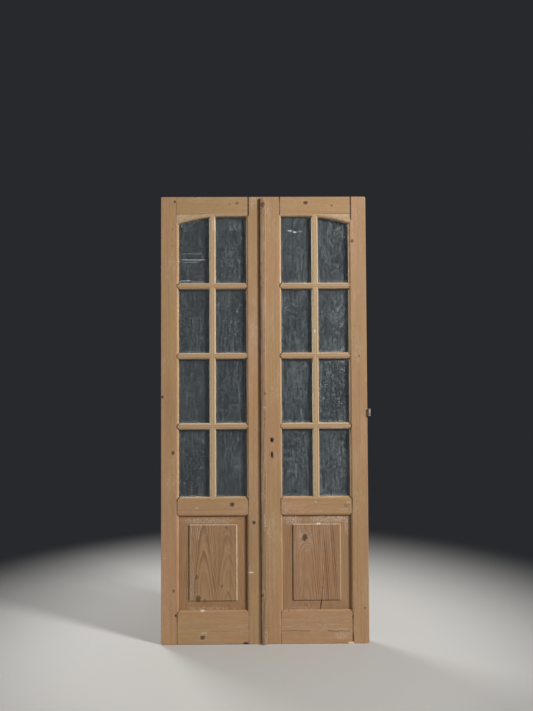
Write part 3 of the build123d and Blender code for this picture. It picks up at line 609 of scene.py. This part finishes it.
# Chalky dabs on the front: x, z, width, height, strength
MARKS = {
    "left_hinge_stile": [(-0.531, 0.470, 0.02, 0.005, 0.5), (-0.531, 0.454, 0.02, 0.006, 0.6)],
    "left_meeting_stile": [
        (-0.075, 0.375, 0.026, 0.009, 1.0),
        (-0.054, 2.352, 0.034, 0.08, 0.35),
    ],
    "left_bottom_rail": [(-0.322, 0.061, 0.035, 0.009, 0.6), (-0.331, 0.176, 0.024, 0.010, 0.9)],
    "left_lock_rail": [(-0.361, 0.715, 0.02, 0.008, 0.7)],
    "right_upright_bar": [(0.270, 1.652, 0.013, 0.018, 1.0)],
    "left_upright_bar": [(-0.268, 2.22, 0.016, 0.06, 0.6)],
    "right_cross_bar_1": [(0.262, 1.903, 0.05, 0.02, 0.74), (0.445, 1.906, 0.03, 0.014, 0.6)],
    "right_cross_bar_2": [(0.265, 1.43, 0.06, 0.014, 0.7), (0.118, 1.43, 0.02, 0.014, 0.6)],
    "left_cross_bar_1": [(-0.450, 1.906, 0.02, 0.012, 0.7), (-0.115, 1.906, 0.02, 0.012, 0.7)],
    "left_cross_bar_2": [(-0.26, 1.43, 0.03, 0.014, 0.7), (-0.40, 1.432, 0.06, 0.01, 0.5)],
    "right_lock_rail": [
        (0.114, 0.703, 0.02, 0.02, 0.5),
        (0.445, 0.735, 0.03, 0.03, 0.4),
        (0.415, 0.702, 0.04, 0.02, 0.45),
        (0.270, 0.742, 0.014, 0.012, 0.6),
    ],
    "right_bottom_rail": [(0.402, 0.041, 0.06, 0.04, 0.35), (0.455, 0.004, 0.04, 0.012, 1.0)],
    "right_panel": [
        (0.281, 0.626, 0.010, 0.010, 1.0),
        (0.291, 0.626, 0.008, 0.010, 1.0),
        (0.14, 0.650, 0.09, 0.06, 0.6),
        (0.35, 0.650, 0.24, 0.035, 0.6),
        (0.44, 0.62, 0.03, 0.10, 0.5),
        (0.185, 0.56, 0.03, 0.11, 0.2),
        (0.238, 0.55, 0.03, 0.12, 0.22),
        (0.22, 0.50, 0.05, 0.04, 0.18),
        (0.20, 0.175, 0.2, 0.03, 0.4),
    ],
    "left_panel": [
        (-0.30, 0.645, 0.30, 0.03, 0.5),
        (-0.34, 0.58, 0.07, 0.08, 0.2),
        (-0.39, 0.30, 0.04, 0.30, 0.25),
        (-0.28, 0.178, 0.3, 0.03, 0.4),
    ],
    "worn_strip": [
        (0.0026, 1.244, 0.014, 0.020, 0.74),
        (0.0, 0.641, 0.010, 0.10, 0.7),
        (0.004, 0.05, 0.016, 0.10, 0.3),
    ],
}

# Small dark holes and bruises on the front, in the same form
HOLES = {
    "left_hinge_stile": [(-0.472, 0.153, 0.009, 0.016, 0.9)],
    "left_meeting_stile": [(-0.098, 0.007, 0.02, 0.014, 1.0)],
    "left_bottom_rail": [
        (-0.103, 0.005, 0.03, 0.014, 0.9),
        (-0.20, 0.0, 0.05, 0.008, 0.6),
        (-0.38, 0.0, 0.06, 0.007, 0.6),
    ],
    "right_bottom_rail": [
        (0.125, 0.172, 0.008, 0.006, 0.8),
        (0.20, 0.0, 0.05, 0.008, 0.7),
        (0.36, 0.0, 0.03, 0.007, 0.6),
    ],
    "right_meeting_stile": [
        (0.040, 1.072, 0.019, 0.026, 1.0),
        (0.040, 0.994, 0.014, 0.036, 1.0),
        (0.060, 0.0, 0.03, 0.009, 0.7),
    ],
    "right_hinge_stile": [(0.532, 1.09, 0.004, 0.03, 0.6), (0.466, 0.02, 0.012, 0.03, 0.7)],
}

# Cracks on the front, and painted shadow lines where a stile's moulding shades a panel's right margin: from
# x, z to x, z, width, strength
CRACKS_AND_SHADOWS = {
    "right_bottom_rail": [
        (0.085, 0.069, 0.245, 0.068, 0.0022, 0.75),
        (0.325, 0.068, 0.455, 0.065, 0.0022, 0.8),
    ],
    "left_bottom_rail": [(-0.30, 0.070, -0.13, 0.069, 0.0014, 0.4)],
    "right_panel": [
        (0.312, 0.36, 0.296, 0.20, 0.0030, 0.6),
        (0.300, 0.235, 0.290, 0.163, 0.0040, 1.0),
        # Painted shadow of the stile's moulding on the panel's right margin
        (0.466, 0.175, 0.466, 0.675, 0.0040, 0.45),
    ],
    # Painted shadow of the stile's moulding on the panel's right margin
    "left_panel": [(-0.0985, 0.175, -0.0985, 0.675, 0.0040, 0.55)],
    "right_hinge_stile": [(0.466, 1.6785, 0.534, 1.677, 0.0016, 0.25)],
    "right_meeting_stile": [(0.015, 1.33, 0.062, 1.331, 0.0016, 0.25)],
}

# Wide open joints on the stile's side of a shoulder, in the same form
GAPS = {
    "left_meeting_stile": [(0.0025 - SHOULDER_IN, 2.268, 0.0025 - SHOULDER_IN, 2.39, 0.0044, 1.0)],
    "right_hinge_stile": [(SHOULDER_OUT + 0.003, 2.245, SHOULDER_OUT + 0.003, 2.39, 0.0044, 0.95)],
}


# Grain of the members: seed, place of the heart line, and what differs from plain pine
STILES = {
    "left_hinge_stile": dict(seed=11.0, heart=-0.62, worn=0.8),
    "left_meeting_stile": dict(seed=31.0, heart=0.06, chalk=0.3),
    "right_hinge_stile": dict(seed=16.0, heart=0.62, worn=0.8),
    "right_meeting_stile": dict(seed=36.0, heart=-0.06, chalk=0.3),
}
BAR_PINE = dict(early=BAR_EARLY, late=BAR_LATE, chalk=0.9, worn=0.9)
PANELS = {
    "left_panel": dict(seed=141.0, heart=-0.323, second=(-0.262, -0.194), taper=0.10, contrast=0.95),
    "right_panel": dict(seed=148.0, heart=0.2115, lean=-0.03, taper=0.075, contrast=0.85),
}
PANEL_RINGS = dict(heart_depth=0.03, spacing=0.0085, wander=0.03, swirl=0.006)
PANEL_PINE = dict(early=PANEL_EARLY, late=PANEL_LATE, chalk=0.15, grime_and_shade=0.8, worn=0.9)
STRIP_PINE = dict(early=STRIP_EARLY, late=STRIP_LATE, chalk=0.35, grime_and_shade=0.8, worn=0.35)

# A rail's heart line lies this far under its middle
RAIL_HEART = 0.15

# Rails: seed, moulded edges, width and darkness of the open joint at the inner and at the outer end
RAILS = {
    "left_top_rail": (55.0, (), ((0.0030, 0.9), (0.0036, 0.6))),
    "left_lock_rail": (59.0, ("low", "high"), ((0.0064, 0.9), (0.0066, 0.95))),
    "left_bottom_rail": (63.0, ("high",), ((0.0048, 0.7), (0.0062, 0.9))),
    "right_top_rail": (62.0, (), ((0.0084, 0.9), (0.0036, 0.6))),
    "right_lock_rail": (66.0, ("low", "high"), ((0.0064, 0.9), (0.0066, 0.95))),
    "right_bottom_rail": (70.0, ("high",), ((0.0048, 0.7), (0.0082, 1.0))),
}
BAR_JOINTS = ((0.0066, 0.95), (0.0066, 0.95))


def mark_wood(name, look):
    """Add a member's own marks, holes, cracks, painted shadow lines and gaps to its wood."""
    add_marks(look, MARKS.get(name, ()))
    add_marks(look, HOLES.get(name, ()), DIRT_AND_SHADE)
    add_lines(look, CRACKS_AND_SHADOWS.get(name, ()))
    add_lines(look, GAPS.get(name, ()), DIRT_AND_SHADE, NEARLY_STRAIGHT, 0.9)


def finish_wood(name, look):
    """Mark a member's wood, and give it to the node."""
    mark_wood(name, look)
    paint(name, look)


def paint_stiles():
    """The uprights of both frameworks."""
    for name, grain in STILES.items():
        finish_wood(name, pine(name, **grain))


def paint_rails():
    """The top, lock and bottom rails, with their open joints."""
    for name, (seed, moulded, ends) in RAILS.items():
        heart = sum(corner.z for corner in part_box(name)) / 2 - RAIL_HEART
        look = pine(name, seed, along_x=True, heart=heart, taper=0.03)
        if "top" in name:
            paint_spandrel(look)
        add_joint_lines(look, name, moulded, ends)
        finish_wood(name, look)


def paint_spandrel(look):
    """A paler, flecked corner between the straight rail and its arch, under a fine dark line."""
    x, _, z = look.place()
    flecks = look.speckle(150.0, 19.0, 3.0)
    below = look.math("MULTIPLY", look.span(z, SPANDREL_TOP, SPANDREL_TOP - 0.003), 0.35)
    look.tint(below, BAR_EARLY)
    look.tint(look.math("MULTIPLY", below, look.span(flecks, 0.48, 0.62)), CHALK_AND_HIGHLIGHT)
    off = look.math("ABSOLUTE", look.math("SUBTRACT", z, SPANDREL_TOP))
    arch_end = look.span(look.math("ABSOLUTE", x), SHOULDER_IN + 0.17, SHOULDER_IN + 0.26)
    look.tint(look.math("MULTIPLY", look.span(off, 0.0026, 0.001, 0.0, 0.4), arch_end), DIRT_AND_SHADE)


def paint_bars():
    """The glazing bars, pale and rubbed, with painted highlight and painted shade on their mouldings."""
    for number, side in enumerate(("left", "right")):
        name = f"{side}_upright_bar"
        look = pine(name, 91.0 + 3 * number, heart=0.1, **BAR_PINE)
        add_bar_flat(look, UPRIGHT_FACE)
        low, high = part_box(name)
        # Painted highlight down the left moulding, and painted shade down the right moulding
        highlight_x, shade_x = low.x + MOULDING / 2, high.x - MOULDING / 2
        add_lines(look, [(highlight_x, low.z, highlight_x, high.z, ARRIS_LINE, 0.75)], PAINTED_HIGHLIGHT, NEARLY_STRAIGHT)
        add_lines(look, [(shade_x, low.z, shade_x, high.z, ARRIS_LINE, 0.7)], PAINTED_SHADE, NEARLY_STRAIGHT)
        finish_wood(name, look)
        for step in (1, 2, 3):
            name = f"{side}_cross_bar_{step}"
            look = pine(name, 101.0 + 9 * number + 2 * step, along_x=True, heart=0.9, **BAR_PINE)
            low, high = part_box(name)
            add_bar_flat(look, CROSS_FACE, (low.z + high.z) / 2)
            # Painted shade along the top moulding, which faces the light
            top = high.z - MOULDING / 2
            add_lines(look, [(low.x, top, high.x, top, ARRIS_LINE, 0.35)], PAINTED_SHADE, 2 * NEARLY_STRAIGHT)
            add_joint_lines(look, name, ("low", "high"), BAR_JOINTS)
            finish_wood(name, look)


def add_bar_flat(look, tone, height=None):
    """The flat fillet down the middle of a bar: browner than its mouldings, with a line at each side.

    A cross bar is given the height of its middle line, and an upright bar is not.
    """
    x, _, z = look.place()
    if height is None:
        aside = look.math("SUBTRACT", look.math("ABSOLUTE", x), (SHOULDER_IN + SHOULDER_OUT) / 2)
    else:
        aside = look.math("SUBTRACT", z, height)
    off = look.math("ABSOLUTE", aside)
    front = look.front()
    flat = look.span(off, BAR_FLAT + 0.001, BAR_FLAT - 0.001, 0.0, 0.75)
    look.tint(look.math("MULTIPLY", flat, front), tone)
    edge = look.span(look.math("ABSOLUTE", look.math("SUBTRACT", off, BAR_FLAT)), 0.0022, 0.0008, 0.0, 0.6)
    look.tint(look.math("MULTIPLY", edge, front), LATE_WOOD)


def paint_panels():
    """The lower panels, broadly figured, with raised fields."""
    for name, grain in PANELS.items():
        look = pine(name, **grain, **PANEL_RINGS, **PANEL_PINE)
        side = name.split("_")[0]
        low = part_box(f"{side}_bottom_rail")[1].z + FIELD_END
        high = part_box(f"{side}_lock_rail")[0].z - FIELD_END
        near, far = SHOULDER_IN + FIELD_SIDE, SHOULDER_OUT - FIELD_SIDE
        left, right = (near, far) if side == "right" else (-far, -near)
        dull_margins(look, MARGIN_TONES[name], left, right, low, high)
        # Painted highlight on the field's top and right edges, stronger on the left panel, and painted shade
        # on its bottom and left edges
        add_field_edges(look, 0.6 if side == "left" else 0.3, left, right, low, high)
        finish_wood(name, look)


def dull_margins(look, tone, left, right, low, high):
    """The sunk margins round a raised field: plainer and dirtier than the field."""
    x, _, z = look.place()
    inside = look.product(
        look.span(x, left - FIELD_EDGE, left),
        look.span(x, right + FIELD_EDGE, right),
        look.span(z, low - FIELD_EDGE, low),
        look.span(z, high + FIELD_EDGE, high),
    )
    share = look.math("MULTIPLY", look.front(), 0.5)
    look.tint(look.math("MULTIPLY", look.math("SUBTRACT", 1.0, inside), share), tone)


def add_field_edges(look, bright, left, right, low, high):
    """Painted highlight along the top and right bevels of a raised field, which face the light, and painted
    shade along the others.
    """
    top, side = high - FIELD_EDGE, right - FIELD_EDGE
    # Painted highlight on the top and right edges, painted shade on the bottom and left edges
    pale_edges = [(left, top, right, top, FIELD_LINE, 0.4), (side, low, side, high, FIELD_LINE, bright)]
    darkened = [(left, low, right, low, FIELD_LINE, 0.6), (left, low, left, high, FIELD_LINE, 0.6)]
    add_lines(look, pale_edges, CHALK_AND_HIGHLIGHT, NEARLY_STRAIGHT)
    add_lines(look, darkened, DIRT_AND_SHADE, NEARLY_STRAIGHT)


def paint_small_wood():
    """The glazing beads and the tenon wedges."""
    for number, side in enumerate(("left", "right")):
        name = f"{side}_glazing_beads"
        paint(name, pine(name, 161.0 + number, spacing=0.003, chalk=0.5))
        name = f"{side}_tenon_wedges"
        paint(name, pine(name, 165.0 + number, True, WEDGE_EARLY, WEDGE_LATE))


# Cover strip, worn
STRIP_STEP = 0.006
STRIP_ROUND, STRIP_ROUND_STEPS = 0.005, 5
STRIP_FRONT = 1.05 * STRIP_ROUND
STRIP_CLEARANCE = 0.0005
SHARP_ANGLE = math.radians(50)
CHIP_DEPTH, CHIP_START, CHIP_GROWTH, CHIP_LEAST = 0.0016, 0.12, 2.2, 0.25
FACE_WEAR = 0.0004
CHIP_SCALES, RUB_SCALES, JAG_SCALE = (60, 38), (90, 9), 400
FOOT_BREAK, FOOT_REACH, FOOT_JAG = 0.014, 0.06, 0.0015
BREAK_WIDTH, BREAK_BLEND = 0.016, 0.012


def strip_outline(low, high, seat):
    """Section of the strip from above, with how much each point lies on an arris."""
    points = [(low.x, high.y - STRIP_CLEARANCE, 0.0)]
    for side in (-1, 1):
        centre = (low.x if side < 0 else high.x) - side * STRIP_ROUND
        for step in range(STRIP_ROUND_STEPS + 1):
            turn = math.pi / 2 * step / STRIP_ROUND_STEPS
            angle = turn if side < 0 else math.pi / 2 - turn
            x = centre + side * STRIP_ROUND * math.cos(angle)
            y = low.y + STRIP_ROUND * (1 - math.sin(angle))
            points.append((x, y, math.sin(2 * turn)))
        if side < 0:
            middle = (low.x + high.x) / 2
            points.append((middle, low.y, 0.0))
    points.append((high.x, high.y, 0.0))
    points.append((seat, high.y, 0.0))
    points.append((seat, high.y - STRIP_CLEARANCE, 0.0))
    return points


def wear_strip(x, y, z, arris, low, middle):
    """Move a point of the strip inward where it is chipped or rubbed, and up where the foot is broken."""
    chip = max(0.0, noise.noise(Vector((x * CHIP_SCALES[0], 3.0, z * CHIP_SCALES[1]))) - CHIP_START)
    rub = 0.5 + 0.5 * noise.noise(Vector((x * RUB_SCALES[0], 7.0, z * RUB_SCALES[1])))
    depth = arris * CHIP_DEPTH * (CHIP_LEAST + CHIP_GROWTH * chip) + FACE_WEAR * rub
    if y < low.y + STRIP_FRONT:
        toward = 1.0 if x < middle else -1.0
        x += toward * depth * arris
        y += depth
    left_share = max(0.0, min(1.0, (low.x + BREAK_WIDTH - x) / BREAK_BLEND))
    jag = 0.5 + 0.5 * noise.noise(Vector((x * JAG_SCALE, 1.0, 5.0)))
    lift = FOOT_BREAK * left_share * (0.4 + 0.6 * jag) + FOOT_JAG * jag
    above = z - low.z
    if above < FOOT_REACH:
        z += lift * (1 - above / FOOT_REACH)
    return x, y, z


def strip_mesh(low, high, seat):
    """The worn strip as a closed skin: one ring of points at each step of its height."""
    outline = strip_outline(low, high, seat)
    middle = (low.x + high.x) / 2
    rings = round((high.z - low.z) / STRIP_STEP)
    vertices, faces = [], []
    count = len(outline)
    for ring in range(rings + 1):
        z = low.z + (high.z - low.z) * ring / rings
        vertices += [wear_strip(x, y, z, arris, low, middle) for x, y, arris in outline]
    for ring in range(rings):
        for side in range(count):
            first, second = ring * count + side, ring * count + (side + 1) % count
            faces.append((first, second, second + count, first + count))
    faces.append(tuple(reversed(range(count))))
    faces.append(tuple(rings * count + side for side in range(count)))
    mesh = bpy.data.meshes.new("worn_strip")
    mesh.from_pydata(vertices, [], faces)
    mesh.update()
    shape = bmesh.new()
    shape.from_mesh(mesh)
    bmesh.ops.recalc_face_normals(shape, faces=shape.faces)
    shape.to_mesh(mesh)
    shape.free()
    mesh.polygons.foreach_set("use_smooth", [True] * len(mesh.polygons))
    mesh.set_sharp_from_angle(angle=SHARP_ANGLE)
    return mesh


def make_worn_strip():
    """The nailed cover strip, with chipped arrises and a broken foot."""
    low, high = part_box("astragal")
    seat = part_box("right_meeting_stile")[0].x
    mesh = strip_mesh(low, high, seat)
    strip = add_object("worn_strip", mesh)
    look = pine("worn_strip", 171.0, heart=0.05, spacing=0.005, contrast=0.6, **STRIP_PINE)
    mark_wood("worn_strip", look)
    # Dirt and painted shade along the strip's left arris
    soil_and_shade_left_edge(look, low.x)
    mesh.materials.append(look.material)
    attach(strip, "right_leaf")
    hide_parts("astragal")


def soil_and_shade_left_edge(look, edge):
    """Dirt and painted shade along the strip's left arris, which faces away from the light, broken up."""
    parts = look.place()
    ragged = look.noise(look.stretched(parts, (60.0, 60.0, 14.0), 31.0), 3.0)
    near = look.math("MULTIPLY_ADD", ragged, -0.012, look.math("SUBTRACT", parts[0], edge))
    look.tint(look.span(near, 0.0005, -0.0035, 0.0, 0.55), DIRT_AND_SHADE)


# Dusty glass
GLASS_TINT, SHADOW_TINT = (222, 232, 234), (0.8, 0.82, 0.82, 1.0)
GLASS_IOR, GLASS_ROUGHNESS = 1.45, 0.06
DUST_LEAST, DUST_MEAN = 0.016, 0.062

# Noises of the dust: scales across, up and through the glass, seed, detail, roughness
DUST = {
    "runs": ((110.0, 8.0, 1.0), 3.0, 3.0, 0.7),
    "fine": ((74.0, 46.0, 1.0), 5.0, 4.0, 0.75),
    "swirls": ((34.0, 22.0, 1.0), 7.0, 3.0, 0.7),
    "blots": ((6.0, 4.5, 1.0), 8.0, 3.0, 0.55),
    "specks": ((150.0, 150.0, 1.0), 13.0, 2.0, 0.55),
    "wave": ((5.0, 3.0, 1.0), 21.0, 1.0, 0.55),
}

# Dirty rims of a pane: direction, where the rim starts and is full as shares of the pane, strength
RIMS = ((0, 0.14, 0.02, 1.0), (0, 0.93, 0.99, 0.5), (2, 0.09, 0.01, 1.0), (2, 0.93, 0.99, 0.6))

# Thicker patches of dust on the glass: x, z, width, height, thickness
CLOUDS = [
    (0.430, 1.780, 0.16, 0.30, 1.3),
    (0.440, 1.500, 0.15, 0.10, 1.6),
    (0.180, 1.380, 0.14, 0.32, 0.7),
    (0.410, 0.950, 0.16, 0.26, 0.8),
    (0.170, 0.960, 0.14, 0.26, 0.6),
    (-0.160, 2.225, 0.16, 0.06, 1.8),
    (-0.200, 1.990, 0.10, 0.40, 0.5),
    (0.430, 2.190, 0.12, 0.12, 0.9),
]

# Scratches and smears on the glass: from x, to x, z, thickness, strength
SCRATCHES = [
    (-0.452, -0.300, 2.039, 0.0032, 0.42),
    (-0.452, -0.325, 2.072, 0.0030, 0.22),
    (-0.445, -0.345, 2.026, 0.0035, 0.24),
    (-0.452, -0.385, 1.926, 0.0045, 0.34),
    (-0.405, -0.305, 1.919, 0.0040, 0.20),
    (-0.452, -0.380, 2.010, 0.0040, 0.10),
    (0.120, 0.165, 2.196, 0.0060, 0.42),
    (0.150, 0.190, 2.188, 0.0055, 0.45),
    (0.180, 0.218, 2.191, 0.0060, 0.40),
    (-0.204, -0.188, 2.125, 0.012, 0.30),
    (-0.246, -0.236, 2.195, 0.030, 0.22),
    (0.105, 0.232, 2.030, 0.0025, 0.12),
    (0.105, 0.215, 2.074, 0.0025, 0.07),
]


def paint_glass():
    """Old glass with a film of dust: thicker in upright streaks, in blotches and along its edges."""
    look = Look("old_glass")
    x, y, z = look.place()
    dust = {
        kind: look.noise(look.stretched((x, z, y), scales, seed), detail, roughness)
        for kind, (scales, seed, detail, roughness) in DUST.items()
    }
    film = add_rim(look, dust_film(look, x, z, dust), dust["specks"])
    film = look.math("MULTIPLY", film, look.span(x, -0.5, 0.5, 0.8, 1.2))
    cover = look.math("MULTIPLY_ADD", film, DUST_MEAN, DUST_LEAST)
    for scratch in SCRATCHES:
        cover = look.math("MAXIMUM", cover, add_scratch(look, x, z, dust["specks"], *scratch))
    clear = look.math("SUBTRACT", 1.0, cover, clamp=True)
    look.set(Base_Color=linear(GLASS_TINT), Transmission_Weight=clear, IOR=GLASS_IOR)
    look.set(Roughness=GLASS_ROUGHNESS, Normal=look.bump(dust["wave"], 0.1, 0.004))
    let_light_through(look)
    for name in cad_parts:
        if "_pane_" in name:
            paint(name, look)


def dust_film(look, x, z, dust):
    """How thick the dust is away from the rims: upright runs, a fine mottle and the clouds."""
    fine, swirls = dust["fine"], dust["swirls"]
    runs = look.product(look.span(dust["runs"], 0.42, 0.68), look.span(dust["blots"], 0.35, 0.65, 0.35, 1.2))
    mottled = look.product(look.span(fine, 0.44, 0.67), look.span(swirls, 0.38, 0.66, 0.35, 1.4))
    film = look.math("MULTIPLY_ADD", mottled, 1.05, look.math("MULTIPLY_ADD", runs, 0.85, 0.02))
    for cloud in CLOUDS:
        thick = look.product(add_cloud(look, x, z, swirls, *cloud), look.span(fine, 0.4, 0.66))
        film = look.math("ADD", film, thick)
    return film


def add_rim(look, film, specks):
    """Thicken the film toward the edges of each pane, and cake it in their corners."""
    split = look.node("ShaderNodeSeparateXYZ")
    look.link(look.node("ShaderNodeTexCoord").outputs["Generated"], split.inputs[0])
    rim = 0.0
    for direction, start, full, strength in RIMS:
        rim = look.math("MAXIMUM", rim, look.span(split.outputs[direction], start, full, 0.0, strength))
    ragged = look.math("MULTIPLY", rim, look.span(specks, 0.42, 0.7))
    film = look.math("MULTIPLY_ADD", ragged, 1.6, film)
    caked = look.math("MULTIPLY", look.math("POWER", rim, 3.0), look.span(specks, 0.52, 0.62))
    return look.math("MULTIPLY_ADD", caked, 5.0, film)


def add_cloud(look, x, z, swirls, centre_x, centre_z, width, height, thickness):
    """A soft-edged patch of thicker dust."""
    away = look.from_spot((x, z), (centre_x, centre_z), (2 / width, 2 / height))
    return look.span(look.math("MULTIPLY_ADD", swirls, 1.6, away), 1.9, 0.9, 0.0, thickness)


def add_scratch(look, x, z, specks, start, end, height, thickness, strength):
    """A pale, broken line across a pane."""
    wobble = look.math("MULTIPLY_ADD", specks, 3.5 * thickness, height - 1.75 * thickness)
    near = look.span(look.math("ABSOLUTE", look.math("SUBTRACT", z, wobble)), thickness, thickness / 3)
    inside = look.product(look.span(x, start, start + 0.02), look.span(x, end, end - 0.02))
    broken = look.math("MULTIPLY", inside, look.span(specks, 0.35, 0.55, 0.15, 1.0))
    return look.product(near, broken, strength)


def let_light_through(look):
    """Lamps shine through the glass, so that it throws no solid shadow."""
    path = look.node("ShaderNodeLightPath")
    gap = look.node("ShaderNodeBsdfTransparent")
    gap.inputs["Color"].default_value = SHADOW_TINT
    mix = look.node("ShaderNodeMixShader")
    look.link(path.outputs["Is Shadow Ray"], mix.inputs[0])
    look.link(look.surface.outputs[0], mix.inputs[1])
    look.link(gap.outputs[0], mix.inputs[2])
    look.link(mix.outputs[0], look.output.inputs[0])


# Nodes made of metal
LOCK_NODES = ("lock_case", "lock_cap")
HINGE_NODES = ("hinge_knuckle", "hinge_screws")
PLATE_NODES = ("lock_forend", "forend_screws", "strike_plate", "strike_screws")
BOLT_NODES = ("latch_bolt", "dead_bolt", "spindle_follower")

# Metals: tone, tone of the rust, share of rust, roughness, metallic, nodes
METALS = {
    "hinge_iron": ((178, 172, 168), (150, 104, 66), 0.5, 0.55, 0.3, HINGE_NODES),
    "lock_iron": ((70, 67, 64), (84, 56, 38), 0.5, 0.5, 0.6, LOCK_NODES),
    "bolt_steel": ((150, 148, 144), (110, 84, 62), 0.2, 0.35, 0.85, PLATE_NODES + BOLT_NODES),
    "nail_iron": ((82, 72, 64), (88, 60, 42), 0.7, 0.6, 0.4, ("astragal_nails",)),
}


def metal(name, tone, rust_tone, rust, roughness, metallic):
    """Old iron or steel with rust in patches and a rough surface."""
    look = Look(name)
    spots, grain = look.speckle(120.0, 4.0, 4.0, 0.65), look.speckle(600.0, 6.0)
    rusty = look.span(spots, 0.62 - 0.3 * rust, 0.72 - 0.2 * rust)
    colour = look.mix(rusty, linear(tone), linear(rust_tone))
    colour = look.lay(colour, shaded(tone, 0.6), grain, 0.4, 0.75, 0.4)
    look.set(Base_Color=colour, Roughness=look.span(spots, 0.3, 0.7, roughness, roughness + 0.3))
    look.set(Metallic=look.math("MULTIPLY", look.math("SUBTRACT", 1.0, rusty), metallic))
    look.set(Normal=look.bump(spots, 0.4, 0.0004))
    return look


def paint_metal():
    """The hinge, the lock with its bolts, and the nails."""
    for kind, (*settings, names) in METALS.items():
        look = metal(kind, *settings)
        for name in names:
            paint(name, look)


make_camera()
make_world()
make_floor()
add_lamp("key_lamp", KEY_PLACE, KEY_AIM, KEY_SIZE, KEY_POWER, KEY_SPREAD)
add_lamp("back_lamp", BACK_PLACE, KEY_AIM, BACK_SIZE, BACK_POWER)
paint_stiles()
paint_rails()
paint_bars()
paint_panels()
paint_small_wood()
make_worn_strip()
paint_glass()
paint_metal()
bpy.context.scene.view_settings.view_transform = "Standard"
